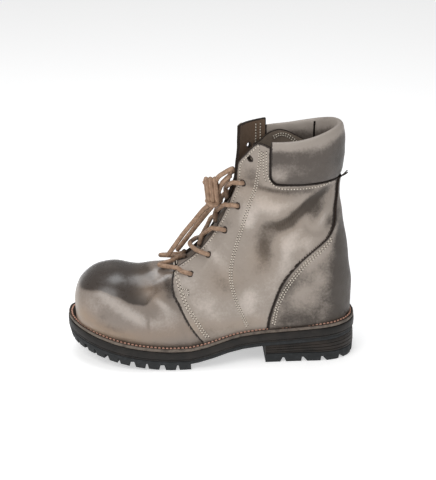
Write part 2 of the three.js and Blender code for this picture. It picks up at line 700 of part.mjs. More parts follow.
function makeCounter() {
  const inside = 2 * gap + overlay;
  const skinned = form(inside + overlay).subtract(form(inside, 12));
  const edge = fairLine(counterEdge.map(([a, u]) => spot(a, u)), 30);
  const top = padSeam - 2 * gap;
  const end = edge[edge.length - 1];
  const behind = sidePrism([...edge.filter((p) => p[1] < top), [end[0], top], [heelX - wide, top],
    [heelX - wide, underFloor]], -ballWidth, ballWidth);
  return skinned.intersect(behind).subtract(below((x) => feather(x) + gap));
}

const makeWelt = () => layer(toeX, heelX, weltBottom, feather, flatEdge(0.8, 0.5)).subtract(form(gap));

function makeInsole() {
  const bottom = (x) => midsoleTop(x) + gap;
  const top = (x) => bottom(x) + insoleThickness;
  const margin = weltMargin + wall + 4 * gap;
  return layer(toeX, heelX, bottom, top, [[0, margin], [1, margin]]).intersect(form(-wall - 2 * gap));
}

// Padded collar: a pillow section carried round the shaft from one front edge to the other
function makeCollar() {
  const loops = [];
  const columns = 9;
  const drawLoop = (side, c) => {
    const puff = THREE.MathUtils.lerp(0.55, 1, Math.min(1, c * 6));
    const point = (turn, offset) => {
      const edge = padFront + gap;
      const ease = Math.sin(c * Math.PI / 2);
      const guess = THREE.MathUtils.lerp(edge, backAt(padSeam + 20), ease);
      const half = (rimAt(guess) - padSeam) / 2;
      const z = padSeam + half + half * Math.sin(turn);
      const x = THREE.MathUtils.lerp(edge, backAt(z), ease);
      const full = Math.pow(Math.cos(turn), 0.7) * puff;
      return onUpper(side, x, z, -wall / 2 + offset * full);
    };
    const rows = [-80, -58, -30, 0, 30, 58, 80].map((v) => v * Math.PI / 180);
    const out = rows.map((turn) => point(turn, padOut));
    const back = rows.slice().reverse().map((turn) => point(turn, -padIn));
    return [...out, ...back];
  };
  for (let i = 0; i <= columns; i += 1) loops.push(drawLoop(-1, i / columns));
  for (let i = columns - 1; i >= 0; i -= 1) loops.push(drawLoop(1, i / columns));
  return skin(loops, true).intersect(padWindow(0));
}

// The tongue lies under the facings, and its middle leans back towards the top
function makeTongue() {
  const inside = wall + 2 * gap;
  const lean = (p) => {
    const up = THREE.MathUtils.smoothstep(p.z, footLevel + instepHeight + 0.3 * shaftRise,
      footLevel + instepHeight + 0.85 * shaftRise);
    const middle = Math.max(0, 1 - Math.pow(p.y / (shaftWidth * 0.42), 2));
    return tongueLean * up * middle * middle;
  };
  const tuck = (p) => (padIn - wall / 2 + 2 * gap) * THREE.MathUtils.smoothstep(p.z, padSeam - tuckRun, padSeam);
  const outerForm = form((p) => -inside - tuck(p), 0, lean);
  const innerForm = form((p) => -inside - tongueThickness - tuck(p), 12, lean);
  const outlineLine = fairLine([...tongueEdge, tongueEdge[0]].map(([a, u]) => spot(a, u)), 40).slice(0, -1);
  return outerForm.subtract(innerForm).intersect(sidePrism(outlineLine, -ballWidth, ballWidth));
}

// A round cord through a list of points
function cordTube(points, diameter, sides, steps) {
  const line = new THREE.CatmullRomCurve3(points, false, 'centripetal');
  const shape = new THREE.Shape();
  for (let i = 0; i < sides; i += 1) {
    const turn = 2 * Math.PI * i / sides;
    const x = Math.cos(turn) * diameter / 2;
    const y = Math.sin(turn) * diameter / 2;
    if (i === 0) shape.moveTo(x, y);
    else shape.lineTo(x, y);
  }
  const geometry = new THREE.ExtrudeGeometry(shape, { steps, extrudePath: line, bevelEnabled: false });
  return toSolid(geometry);
}

// A lace strand from a hole over the edge of its facing, then under the other facing
const laceClear = 0.4;
const laceOver = 2 * gap + overlay + laceClear + laceDiameter / 2;
const laceUnder = laceDiameter / 2 - wall + gap;

function makeCrossStrand(side, row, to, dip, inset) {
  const start = holeHeight(holeUps[row]);
  const run = holeHeight(to) - start;
  const edge = throatGap / 2;
  const points = [
    atBreadth(side, holeBreadths[row], start, laceOver),
    atBreadth(side, (holeBreadths[row] + edge) / 2, start + run * 0.04, laceOver + 0.4),
    atBreadth(side, edge - 1, start + run * 0.08, laceOver + 0.4),
    atBreadth(side, edge - 6, start + run * 0.26, laceOver - dip),
    atBreadth(side, 0.5, start + run * 0.52, laceUnder + 1.2).setY(0),
    atBreadth(-side, edge - laceDiameter / 2 - inset, start + run * 0.86, laceUnder + 0.9),
  ];
  return cordTube(points, laceDiameter, 6, 7);
}

const rowDip = 1.6;
const rowInset = 1.2;
const makeCrossing = (row) => makeCrossStrand(-1, row, holeUps[row + 1], rowDip, rowInset)
  .add(makeCrossStrand(1, row, holeUps[row + 1], rowDip, rowInset));

// Strands from the lowest holes go up and cross, below a straight bar, inside the round throat
const lowDip = 0.9;
const lowInset = 3.6;
function makeLowCrossing() {
  const row = holeUps.length - 1;
  const to = THREE.MathUtils.lerp(holeUps[row], holeUps[row - 1], 0.72);
  return makeCrossStrand(-1, row, to, lowDip, lowInset).add(makeCrossStrand(1, row, to, lowDip, lowInset));
}

function makeBar(row) {
  const z = holeHeight(holeUps[row]);
  const half = (side) => [holeBreadths[row], (holeBreadths[row] + throatGap / 2) / 2, throatGap / 2 - 1]
    .map((y) => atBreadth(side, y, z, laceOver + 0.8));
  const middle = atBreadth(1, 0.5, z, laceOver + 0.8).setY(0);
  return cordTube([...half(-1), middle, ...half(1).reverse()], laceDiameter, 6, 8);
}

// The knot and the strands on it hang free in front of the throat
const cordPoint = ([x, y, z]) => new THREE.Vector3(x, y, z);
const knotMiddle = [1, -8, 180.2];
const knotSize = [8, 7, 16.5];
const leadOuter = [[23.4, -11.3, 205.4], [19, -10.8, 203.8], [13.5, -10, 200.4], [5.9, -8.7, 194]];
const leadInner = [[20.4, -10.8, 197.8], [16, -10.4, 194.6], [12.4, -9.6, 190.8], [10.3, -9.1, 187.8]];
const endOuter = [[-3.6, -8, 165.6], [-9, -7.5, 159.2], [-18, -7, 147.7], [-28.5, -5, 133.8], [-37.8, -3, 119.8],
  [-46.8, -1, 105.8]];
const endInner = [[1.2, -6, 163.9], [-5, 0, 153.2], [-14, 3.5, 140.2], [-23.5, 6, 126.6], [-32, 7.5, 114.6],
  [-36.4, 8.3, 108.5]];

function makeKnot() {
  const ball = new THREE.SphereGeometry(1, 12, 8);
  ball.scale(...knotSize);
  ball.translate(...knotMiddle);
  return toSolid(ball);
}

function makeStrand(points) {
  return cordTube(points.map(cordPoint), laceDiameter, 8, 2 * points.length);
}

const leather = '#8f867c';
const thread = '#a58a70';
const rubber = '#222426';
const soleLeather = '#3b332e';
const [quarterOuter, quarterInner] = makeQuarters();

const boot = new THREE.Group();
function addPart(name, solid, color, roughness) {
  const material = new THREE.MeshStandardMaterial({ color, roughness, metalness: 0 });
  const mesh = new THREE.Mesh(toGeometry(solid), material);
  mesh.name = name;
  boot.add(mesh);
}

addPart('outsole', makeOutsole(), rubber, 0.8);
addPart('heel_lift', makeHeelLift(), rubber, 0.8);
addPart('heel_stack', makeHeelStack(), soleLeather, 0.7);
addPart('midsole', makeMidsole(), soleLeather, 0.7);
addPart('welt', makeWelt(), soleLeather, 0.7);
addPart('insole', makeInsole(), '#8a7460', 0.8);
addPart('upper', makeUpper(), leather, 0.6);
addPart('quarter_outer', quarterOuter, leather, 0.6);
addPart('quarter_inner', quarterInner, leather, 0.6);
addPart('counter', makeCounter(), leather, 0.6);
addPart('collar_pad', makeCollar(), '#7a6f66', 0.6);
addPart('tongue', makeTongue(), '#6f655c', 0.7);
const barRow = holeUps.length - 2;
for (let row = 1; row < barRow; row += 1) {
  addPart(`lace_crossing_${row}`, makeCrossing(row), thread, 0.85);
}
addPart('lace_bar', makeBar(barRow), thread, 0.85);
addPart('lace_crossing_low', makeLowCrossing(), thread, 0.85);
addPart('lace_knot', makeKnot(), thread, 0.85);
addPart('lace_lead_outer', makeStrand(leadOuter), thread, 0.85);
addPart('lace_lead_inner', makeStrand(leadInner), thread, 0.85);
addPart('lace_end_outer', makeStrand(endOuter), thread, 0.85);
addPart('lace_end_inner', makeStrand(endInner), thread, 0.85);

export default boot;
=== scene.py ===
# %% [markdown]
# # A lace-up ankle boot, dressed over its CAD frame
# The frame gives every solid of the boot in metres, with the sole on z = 0, the toe towards -X and
# the outer side towards -Y. This lesson lays leather, thread and lace over that frame. The lines
# that the boot is drawn with are known in millimetres, so the lesson works in millimetres and
# divides by a thousand only when a mesh is handed to Blender.

# %% Load the frame
import math
import bpy
import numpy as np
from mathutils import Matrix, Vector


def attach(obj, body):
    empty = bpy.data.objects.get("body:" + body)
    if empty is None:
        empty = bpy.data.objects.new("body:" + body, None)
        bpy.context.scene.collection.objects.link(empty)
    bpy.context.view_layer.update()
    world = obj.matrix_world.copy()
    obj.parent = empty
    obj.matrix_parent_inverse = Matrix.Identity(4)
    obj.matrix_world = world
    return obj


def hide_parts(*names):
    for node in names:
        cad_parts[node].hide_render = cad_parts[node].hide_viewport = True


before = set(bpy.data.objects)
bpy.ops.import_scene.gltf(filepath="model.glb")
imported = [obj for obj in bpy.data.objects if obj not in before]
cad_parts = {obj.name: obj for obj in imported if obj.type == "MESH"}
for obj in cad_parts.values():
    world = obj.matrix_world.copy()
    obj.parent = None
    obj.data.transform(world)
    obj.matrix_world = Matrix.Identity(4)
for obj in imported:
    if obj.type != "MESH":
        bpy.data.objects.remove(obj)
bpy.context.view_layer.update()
MM = 0.001

# %% [markdown]
# ## The camera
# A photograph is matched first by its camera. The boot is seen from its outer side, a little from
# above, with a long lens from 1.4 m, so that near and far lace holes keep their true distances.

# %% Camera
SIGHT_AZIMUTH, SIGHT_ELEVATION = math.radians(-3.0), math.radians(21.0)
SIGHT_DISTANCE = 1.4
SIGHT_TARGET = Vector((0.006889, 0.0, 0.12314))
PIXEL_AT_TARGET = 0.0010425561
FRAME_HEIGHT_PIXELS = 480
sight = Vector((math.sin(SIGHT_AZIMUTH) * math.cos(SIGHT_ELEVATION),
                -math.cos(SIGHT_AZIMUTH) * math.cos(SIGHT_ELEVATION), math.sin(SIGHT_ELEVATION)))
camera_data = bpy.data.cameras.new("camera")
camera_data.sensor_fit = "AUTO"
camera_data.sensor_width = 36.0
camera_data.lens = 36.0 * SIGHT_DISTANCE / (PIXEL_AT_TARGET * FRAME_HEIGHT_PIXELS)
camera = bpy.data.objects.new("camera", camera_data)
camera.location = SIGHT_TARGET + SIGHT_DISTANCE * sight
camera.rotation_euler = (-sight).to_track_quat("-Z", "Y").to_euler()
bpy.context.scene.collection.objects.link(camera)
bpy.context.scene.camera = camera
print("lens %.1f mm" % camera_data.lens)

# %% [markdown]
# ## From numbers to a mesh
# Every piece below ends as a list of points and faces. One helper turns them into a Blender mesh:
# it takes millimetres, shades the faces smooth, keeps a crease wherever two faces meet at a
# steep angle, and stores any named value of the points, such as how dark the dye is, as an
# attribute that a material can read.

# %% Mesh helper
def make_mesh(name, points, faces, materials, slots=None, values=None, crease=38.0):
    mesh = bpy.data.meshes.new(name)
    mesh.from_pydata((np.asarray(points)[:, :3] * MM).tolist(), [], [list(map(int, f)) for f in faces])
    for material in materials:
        mesh.materials.append(material)
    if slots is not None:
        mesh.polygons.foreach_set("material_index", np.asarray(slots, dtype=np.int32))
    for key, data in (values or {}).items():
        column = mesh.attributes.new(key, "FLOAT", "POINT")
        column.data.foreach_set("value", np.asarray(data, dtype=np.float32))
    mesh.polygons.foreach_set("use_smooth", np.ones(len(mesh.polygons), dtype=bool))
    mesh.update()
    mesh.set_sharp_from_angle(angle=math.radians(crease))
    piece = bpy.data.objects.new(name, mesh)
    bpy.context.scene.collection.objects.link(piece)
    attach(piece, "root")
    return piece


print("mesh helper ready")

# %% [markdown]
# ## Smooth lines through a few chosen places
# Two kinds of line are used. The first is a curve through a table of numbers that never swings
# past its rows. The second is a spline through points in space, sampled at even steps.

# %% Curves
def smooth_curve(at, value):
    at, value = np.asarray(at, float), np.asarray(value, float)
    rise = np.diff(value) / np.diff(at)
    slope = np.concatenate([rise[:1], np.zeros(len(at) - 2), rise[-1:]])
    before, after = rise[:-1], rise[1:]
    same = before * after > 0
    slope[1:-1] = np.where(same, 2 * before * after / np.where(same, before + after, 1), 0)

    def curve(place):
        i = np.clip(np.searchsorted(at, place, side="right") - 1, 0, len(at) - 2)
        span = at[i + 1] - at[i]
        u = np.clip((place - at[i]) / span, 0, 1)
        start = value[i] + slope[i] * span * u * (1 - u) ** 2
        return start + u * u * (3 - 2 * u) * (value[i + 1] - value[i]) - slope[i + 1] * span * u * u * (1 - u)
    return curve


def fair(points, step):
    """A spline through the points, sampled every step millimetres."""
    p = np.asarray(points, float)
    p = np.concatenate([[2 * p[0] - p[1]], p, [2 * p[-1] - p[-2]]])
    fine = []
    u = np.linspace(0, 1, 24, endpoint=False)[:, None]
    for a, b, c, d in zip(p[:-3], p[1:-2], p[2:-1], p[3:]):
        fine.append(0.5 * (2 * b + (c - a) * u + (2 * a - 5 * b + 4 * c - d) * u ** 2
                           + (3 * b - a - 3 * c + d) * u ** 3))
    fine = np.concatenate(fine + [p[-2:-1]])
    run = np.concatenate([[0], np.cumsum(np.linalg.norm(np.diff(fine, axis=0), axis=1))])
    count = max(2, int(round(run[-1] / step)) + 1)
    stops = np.linspace(0, run[-1], count)
    return np.stack([np.interp(stops, run, fine[:, i]) for i in range(p.shape[1])], axis=1)


def near_line(x, z, line):
    """Distance of each side-view place from a line."""
    best = np.full(len(x), np.inf)
    for (ax, az), (bx, bz) in zip(line[:-1], line[1:]):
        dx, dz = bx - ax, bz - az
        u = np.clip(((x - ax) * dx + (z - az) * dz) / (dx * dx + dz * dz), 0, 1)
        best = np.minimum(best, np.hypot(x - ax - u * dx, z - az - u * dz))
    return best


print("curves ready")

# %% [markdown]
# ## The laces that hang free
# Two strands leave the outer facing, meet in the knot and hang down from it in front of the throat, a good
# ten centimetres long each, and end bare at the foot of the throat. A round tube is swept along
# each route by carrying a small circle along without twisting it.

# %% Tube helper
LACE = 5.0


def tube(points, radius, sides=14):
    """A round tube along evenly spaced points, with its own length and turn as values."""
    p = np.asarray(points, float)
    way = np.gradient(p, axis=0)
    way /= np.linalg.norm(way, axis=1)[:, None]
    side = np.cross(way[0], [0, 1, 0.3])
    side /= np.linalg.norm(side)
    run = np.concatenate([[0], np.cumsum(np.linalg.norm(np.diff(p, axis=0), axis=1))])
    to_end = np.clip(np.minimum(run, run[-1] - run) / (0.8 * radius), 0, 1)
    size = radius * np.sqrt(np.clip(1 - (1 - to_end) ** 2, 0.04, 1))
    rings = []
    turn = 2 * math.pi * np.arange(sides) / sides
    for place, forward, r in zip(p, way, size):
        side = side - forward * np.dot(side, forward)
        side /= np.linalg.norm(side)
        other = np.cross(forward, side)
        rings.append(place + r * (np.cos(turn)[:, None] * side + np.sin(turn)[:, None] * other))
    verts = np.concatenate(rings)
    count = len(p)
    i, j = np.meshgrid(np.arange(count - 1), np.arange(sides), indexing="ij")
    a = i * sides + j
    b = i * sides + (j + 1) % sides
    faces = np.stack([a, b, b + sides, a + sides], axis=-1).reshape(-1, 4).tolist()
    faces.append(list(range(sides))[::-1])
    faces.append([(count - 1) * sides + j for j in range(sides)])
    return verts, faces, {"along": np.repeat(run, sides), "around": np.tile(np.arange(sides) / sides, count)}


def join(parts):
    """Several (points, faces, values) as one."""
    points, faces, values, start = [], [], {}, 0
    for verts, polygons, data in parts:
        points.append(verts)
        faces += [[i + start for i in polygon] for polygon in polygons]
        for key, column in data.items():
            values.setdefault(key, []).append(column)
        start += len(verts)
    return np.concatenate(points), faces, {key: np.concatenate(column) for key, column in values.items()}


print("tube helper ready")

# %% [markdown]
# ## Colours and the first node groups
# Waxed leather is never one colour: wax gathers and darkens it, wear lightens it, and cut edges
# take dye and go almost black. These effects come back in several leathers, so each is a node
# group, made once and then placed in every material with its own numbers. A group passes on
# colours and masks only, and the shader itself stays in the material.

# %% Node helpers
def colour(code):
    parts = [int(code[i:i + 2], 16) / 255 for i in (1, 3, 5)]
    return tuple(p / 12.92 if p <= 0.04045 else ((p + 0.055) / 1.055) ** 2.4 for p in parts) + (1.0,)


class Sheet:
    """A node tree with short ways to add and join nodes."""

    def __init__(self, tree):
        self.tree = tree

    def set(self, socket, value):
        if isinstance(value, bpy.types.NodeSocket):
            self.tree.links.new(value, socket)
        else:
            socket.default_value = value

    def add(self, kind, inputs=None, **options):
        node = self.tree.nodes.new(kind)
        for key, value in options.items():
            setattr(node, key, value)
        for key, value in (inputs or {}).items():
            self.set(node.inputs[key], value)
        return node

    def math(self, operation, a, b=0.0, c=0.0, clamp=False):
        node = self.add("ShaderNodeMath", {0: a, 1: b}, operation=operation, use_clamp=clamp)
        if operation == "MULTIPLY_ADD":
            self.set(node.inputs[2], c)
        return node.outputs[0]

    def mix(self, factor, a, b, blend="MIX"):
        node = self.add("ShaderNodeMix", data_type="RGBA", blend_type=blend)
        for index, value in ((0, factor), (6, a), (7, b)):
            self.set(node.inputs[index], value)
        return node.outputs[2]

    def noise(self, vector, scale, detail=3.0, rough=0.55, distort=0.0):
        node = self.add("ShaderNodeTexNoise", {"Vector": vector, "Scale": scale, "Detail": detail,
                                               "Roughness": rough, "Distortion": distort})
        return node.outputs[0]

    def ramp(self, value, low, high, to_low=0.0, to_high=1.0):
        node = self.add("ShaderNodeMapRange", {0: value, 1: low, 2: high, 3: to_low, 4: to_high},
                        interpolation_type="SMOOTHSTEP")
        return node.outputs[0]

    def value(self, name):
        return self.add("ShaderNodeAttribute", attribute_name=name).outputs["Fac"]

    def place(self, stretch=None):
        coordinates = self.add("ShaderNodeTexCoord").outputs["Object"]
        if stretch is None:
            return coordinates
        return self.add("ShaderNodeMapping", {"Vector": coordinates, "Scale": stretch}).outputs[0]


def new_group(name, inputs, outputs):
    tree = bpy.data.node_groups.new(name, "ShaderNodeTree")
    for label, kind, default in inputs:
        socket = tree.interface.new_socket(label, in_out="INPUT", socket_type=kind)
        socket.default_value = default
    for label, kind in outputs:
        tree.interface.new_socket(label, in_out="OUTPUT", socket_type=kind)
    sheet = Sheet(tree)
    return tree, sheet, sheet.add("NodeGroupInput").outputs, sheet.add("NodeGroupOutput").inputs


print("node helpers ready")

# %% [markdown]
# ### Patina
# The group mixes four colours of one leather. Its Tone goes from -1, dark, to 1, light, and soft noise at
# three sizes moves it a little everywhere, as fingers and wax do. The Tone it is given holds the leather's
# own dyes and also painted shade and painted highlights, set by the patches further on.

# %% Patina group
COLOR, FLOAT = "NodeSocketColor", "NodeSocketFloat"
patina_and_shade, s, given, out = new_group("Patina and shade", [
    ("Base", COLOR, colour("#8F867C")), ("Light", COLOR, colour("#B2A89F")),
    ("Dark", COLOR, colour("#6A6159")), ("Warm", COLOR, colour("#A08B75")),
    ("Tone", FLOAT, 0.0), ("Warmth", FLOAT, 0.0), ("Cloud", FLOAT, 0.5),
], [("Color", COLOR)])
place = s.place()
wide = s.noise(place, 16.0, 2.0)
middle = s.noise(place, 55.0, 4.0, 0.6, 0.4)
fine = s.noise(place, 420.0, 3.0, 0.65)
cloud = s.math("ADD", s.math("SUBTRACT", wide, 0.5),
               s.math("MULTIPLY", s.math("SUBTRACT", middle, 0.5), 0.85))
cloud = s.math("ADD", s.math("MULTIPLY", cloud, given["Cloud"]),
               s.math("MULTIPLY", s.math("SUBTRACT", fine, 0.5), 0.5))
tone = s.math("ADD", given["Tone"], cloud)
shade = s.mix(s.ramp(tone, 0.0, 0.8), given["Base"], given["Light"])
shade = s.mix(s.ramp(tone, 0.0, -0.8), shade, given["Dark"])
warmth = s.math("MULTIPLY", given["Warmth"], s.ramp(middle, 0.2, 0.75, 0.55, 1.0))
shade = s.mix(warmth, shade, given["Warm"])
s.set(out["Color"], shade)
print("patina group ready")

# %% [markdown]
# ### Grain
# Grain is relief too small for the mesh: pores, the fine net between them and a few long scars.
# The group puts out a height, which a Bump node turns into the normal, and a roughness.

# %% Grain group
grain, s, given, out = new_group("Grain", [
    ("Pores", FLOAT, 1.0), ("Creasing", FLOAT, 1.0), ("Gloss", FLOAT, 0.5),
], [("Height", FLOAT), ("Roughness", FLOAT)])
place = s.place()
net = s.add("ShaderNodeTexVoronoi", {"Vector": place, "Scale": 620.0}, feature="DISTANCE_TO_EDGE")
dust = s.noise(place, 1500.0, 2.0, 0.6)
soft = s.noise(place, 95.0, 4.0, 0.6, 0.6)
long_scar = s.noise(s.place((60.0, 60.0, 16.0)), 2.2, 5.0, 0.7, 1.2)
walls = s.ramp(net.outputs[0], 0.0, 0.12, 0.0, 0.4)
pores = s.math("MULTIPLY", s.math("ADD", walls, s.math("MULTIPLY", dust, 0.5)), given["Pores"])
folds = s.math("ADD", s.math("MULTIPLY", soft, 2.2), s.math("MULTIPLY", long_scar, 1.2))
creasing = s.math("MULTIPLY", folds, given["Creasing"])
s.set(out["Height"], s.math("ADD", pores, creasing))
rough = s.math("SUBTRACT", s.math("MULTIPLY_ADD", s.math("SUBTRACT", soft, 0.5), 0.35, 0.62),
               s.math("MULTIPLY", given["Gloss"], 0.34))
uneven = s.math("MULTIPLY", s.math("SUBTRACT", dust, 0.5), 0.14)
s.set(out["Roughness"], s.math("ADD", rough, uneven, clamp=True))
print("grain group ready")

# %% [markdown]
# ### Dyed edges, seam shade and scuffs
# Beside a cut edge the leather is dyed dark in a ragged band; where the same band lies on a lower layer
# beside an upper layer's edge, it is painted shadow. The same ragged mask, drawn out into streaks, gives the
# scuffs along the sole.

# %% Edge and scuff groups
edge_dye_and_shade, s, given, out = new_group("Dyed edge and seam shade", [
    ("Color", COLOR, colour("#8F867C")), ("Dye and shade", COLOR, colour("#2E2621")), ("Distance", FLOAT, 9.0),
    ("Reach", FLOAT, 1.0),
], [("Color", COLOR), ("Mask", FLOAT)])
ragged = s.noise(s.place(), 380.0, 3.0, 0.7)
reach = s.math("MULTIPLY", given["Reach"], s.math("MULTIPLY_ADD", ragged, 1.5, 0.15))
mask = s.ramp(s.math("DIVIDE", given["Distance"], reach), 1.25, 0.55)
s.set(out["Color"], s.mix(mask, given["Color"], given["Dye and shade"]))
s.set(out["Mask"], mask)

scuffs, s, given, out = new_group("Scuffs", [
    ("Color", COLOR, colour("#3B342F")), ("Bare", COLOR, colour("#8C837A")), ("Amount", FLOAT, 0.5),
], [("Color", COLOR), ("Mask", FLOAT), ("Height", FLOAT)])
streak = s.noise(s.place((30.0, 30.0, 190.0)), 2.6, 6.0, 0.72, 1.5)
blot = s.noise(s.place(), 60.0, 4.0, 0.6)
threshold = s.math("SUBTRACT", 0.74, s.math("MULTIPLY", given["Amount"], 0.16))
mask = s.math("MULTIPLY", s.ramp(s.math("SUBTRACT", streak, threshold), 0.0, 0.1),
              s.ramp(blot, 0.38, 0.62))
s.set(out["Color"], s.mix(mask, given["Color"], given["Bare"]))
s.set(out["Mask"], mask)
s.set(out["Height"], s.math("ADD", s.math("MULTIPLY", streak, 0.8), s.math("MULTIPLY", mask, -0.5)))
print("edge and scuff groups ready")

# %% [markdown]
# ## Leathers
# All the upper's leathers share one recipe: a mottled, waxed colour that also holds painted shade and painted
# highlights, grain for relief and gloss, and a dark band near the cuts that is edge dye on a piece's own cuts
# and painted shadow beside an overlying edge. A thin clear coat stands for the wax. The numbers that are the
# same all over, such as the coat's roughness, are set on the shader itself.

# %% Leather materials
def surface_of(name, build, coat=0.0, coat_roughness=0.3, specular=0.5, bump=0.3, bump_depth=0.0004,
               sheen=0.0):
    """A material whose build(sheet) gives (colour, roughness, height)."""
    material = bpy.data.materials.new(name)
    material.use_nodes = True
    material.node_tree.nodes.clear()
    s = Sheet(material.node_tree)
    base, roughness, height = build(s)
    shader = s.add("ShaderNodeBsdfPrincipled", {"Base Color": base, "Roughness": roughness})
    shader.inputs["Coat Weight"].default_value = coat
    shader.inputs["Coat Roughness"].default_value = coat_roughness
    shader.inputs["Specular IOR Level"].default_value = specular
    shader.inputs["Sheen Weight"].default_value = sheen
    if height is not None:
        relief = s.add("ShaderNodeBump", {"Strength": bump, "Distance": bump_depth, "Height": height})
        s.set(shader.inputs["Normal"], relief.outputs[0])
    s.add("ShaderNodeOutputMaterial", {"Surface": shader.outputs[0]})
    return material


def use(s, tree, inputs):
    node = s.add("ShaderNodeGroup", node_tree=tree)
    for key, value in inputs.items():
        s.set(node.inputs[key], value)
    return node.outputs


def leather(name, base, light, dark, warm, gloss=0.5, cloud=0.55, reach=1.0, creasing=1.0, **finish):
    def build(s):
        dye_and_shade = use(s, patina_and_shade, {"Base": colour(base), "Light": colour(light), "Dark": colour(dark),
                              "Warm": colour(warm), "Tone": s.value("tone"), "Warmth": s.value("warm"),
                              "Cloud": cloud})
        dyed_and_shaded = use(s, edge_dye_and_shade, {"Color": dye_and_shade["Color"], "Distance": s.value("edge"), "Reach": reach})
        shine = s.math("ADD", s.math("MULTIPLY", s.value("gloss"), 0.6), gloss)
        skin = use(s, grain, {"Creasing": creasing, "Gloss": shine})
        rough = s.math("MULTIPLY_ADD", s.math("SUBTRACT", 0.85, skin["Roughness"]), dyed_and_shaded["Mask"],
                       skin["Roughness"])
        return dyed_and_shaded["Color"], rough, skin["Height"]
    return surface_of(name, build, **finish)


vamp_leather = leather("vamp leather", "#857A71", "#B8AEA6", "#3F3731", "#97806A", gloss=0.62, cloud=0.8,
                       reach=1.3, coat=0.28, coat_roughness=0.28, bump=0.22)
quarter_leather = leather("quarter leather", "#9C9187", "#CBC0B7", "#40372F", "#A38D77", gloss=0.34,
                          cloud=0.95, reach=1.5, coat=0.08, coat_roughness=0.42, bump=0.3)
pad_leather = leather("pad leather", "#544B44", "#A2988F", "#322C27", "#735F4E", gloss=0.42, cloud=0.8,
                      reach=1.6, coat=0.12, coat_roughness=0.38, bump=0.35, creasing=1.5)
tongue_leather = leather("tongue leather", "#75695F", "#8F857B", "#4A413A", "#7C6957", gloss=0.2, cloud=0.5,
                         reach=0.8, bump=0.35)
lining_leather = leather("lining leather", "#84776A", "#A39A90", "#54483F", "#6E543D", gloss=0.05, cloud=0.5,
                         reach=1.0, bump=0.3, sheen=0.1)
print("leathers ready")

# %% [markdown]
# ### Cut edges
# The cut edge of thick leather is a fibrous, almost black brown wall.

# %% Raw edge material
def build_raw(s):
    fibre = s.noise(s.place(), 900.0, 5.0, 0.75)
    shade = s.mix(s.ramp(fibre, 0.35, 0.75), colour("#241D19"), colour("#4E433A"))
    return shade, s.math("MULTIPLY_ADD", fibre, 0.1, 0.85), fibre


raw_edge = surface_of("raw edge", build_raw, specular=0.2, bump=0.8, bump_depth=0.0006)
print("raw edge ready")

# %% [markdown]
# ### Sole leather, rubber, thread and lace
# The midsole and stack are dark burnished leather with light scuffs, the lugs are matt rubber,
# the thread is off-white, and the lace is a smooth waxed cord with a darker line along it.

# %% Sole, thread and lace materials
def build_sole(base, light, amount, line_dark=0.5):
    def build(s):
        place = s.place()
        wide = s.noise(place, 45.0, 4.0, 0.65)
        layered = s.noise(s.place((9.0, 9.0, 420.0)), 1.6, 3.0, 0.6)
        shade = s.mix(s.ramp(wide, 0.3, 0.75), colour(base), colour(light))
        shade = s.mix(s.math("MULTIPLY", s.ramp(layered, 0.5, 0.75), line_dark), shade, colour("#151210"))
        worn = use(s, scuffs, {"Color": shade, "Amount": s.math("ADD", amount, s.value("worn"))})
        rough = s.math("MULTIPLY_ADD", worn["Mask"], 0.2, s.math("MULTIPLY_ADD", wide, 0.2, 0.42))
        return worn["Color"], rough, s.math("ADD", worn["Height"], s.math("MULTIPLY", layered, 0.8))
    return build


sole_leather = surface_of("sole leather", build_sole("#161412", "#302B27", 0.6), specular=0.3, bump=0.5,
                          bump_depth=0.0006)
stack_leather = surface_of("stack leather", build_sole("#191613", "#332C27", 0.55, 0.8), specular=0.3,
                           bump=0.6, bump_depth=0.0007)


def build_welt(s):
    place = s.place()
    dirt = s.noise(place, 130.0, 4.0, 0.7)
    side = s.value("up")
    shade = s.mix(s.ramp(dirt, 0.3, 0.75), colour("#2E2722"), colour("#51473F"))
    # Darker towards the inner margin: painted shade in the crevice under the upper. Lighter at the outer
    # edge: a painted highlight on the welt's rounded edge.
    shade = s.mix(s.ramp(side, 0.45, 0.9), shade, colour("#231C18"))
    painted_edge_highlight = s.math("MULTIPLY", s.ramp(side, 0.22, 0.08), s.ramp(dirt, 0.35, 0.6, 0.35, 1.0))
    shade = s.mix(painted_edge_highlight, shade, colour("#766B61"))
    return shade, s.math("MULTIPLY_ADD", dirt, 0.25, 0.5), dirt


welt_leather = surface_of("welt leather", build_welt, specular=0.35, bump=0.4)


def build_rubber(s):
    dust = s.noise(s.place(), 160.0, 4.0, 0.7)
    speck = s.noise(s.place(), 900.0, 3.0, 0.6)
    shade = s.mix(s.ramp(dust, 0.45, 0.8), colour("#202223"), colour("#35373A"))
    return shade, s.math("MULTIPLY_ADD", dust, 0.25, 0.6), s.math("ADD", speck, dust)


rubber = surface_of("rubber", build_rubber, specular=0.4, bump=0.3)


def build_insole(s):
    stain = s.noise(s.place(), 40.0, 4.0, 0.6)
    shade = s.mix(s.ramp(stain, 0.3, 0.75), colour("#7A6654"), colour("#A08D79"))
    return shade, s.math("MULTIPLY_ADD", stain, 0.2, 0.55), stain


insole_leather = surface_of("insole leather", build_insole, bump=0.2)


def build_thread(light, dark):
    def build(s):
        twist = s.noise(s.place(), 1400.0, 2.0, 0.6)
        return s.mix(s.ramp(twist, 0.35, 0.7), colour(dark), colour(light)), 0.75, twist
    return build


thread = surface_of("off-white thread", build_thread("#E6DED2", "#C6BCAE"), specular=0.3, bump=0.4)
welt_thread = surface_of("salmon welt thread", build_thread("#F0C4B0", "#D09A84"), specular=0.3, bump=0.4)


# A near-black surface that stands for the shade inside a stitch hole or an open slit: painted shade.
def build_pinhole_shade(s):
    return s.mix(s.noise(s.place(), 500.0), colour("#120E0C"), colour("#1F1916")), 0.9, None


pinhole_shade = surface_of("pinhole_shade", build_pinhole_shade, specular=0.1)


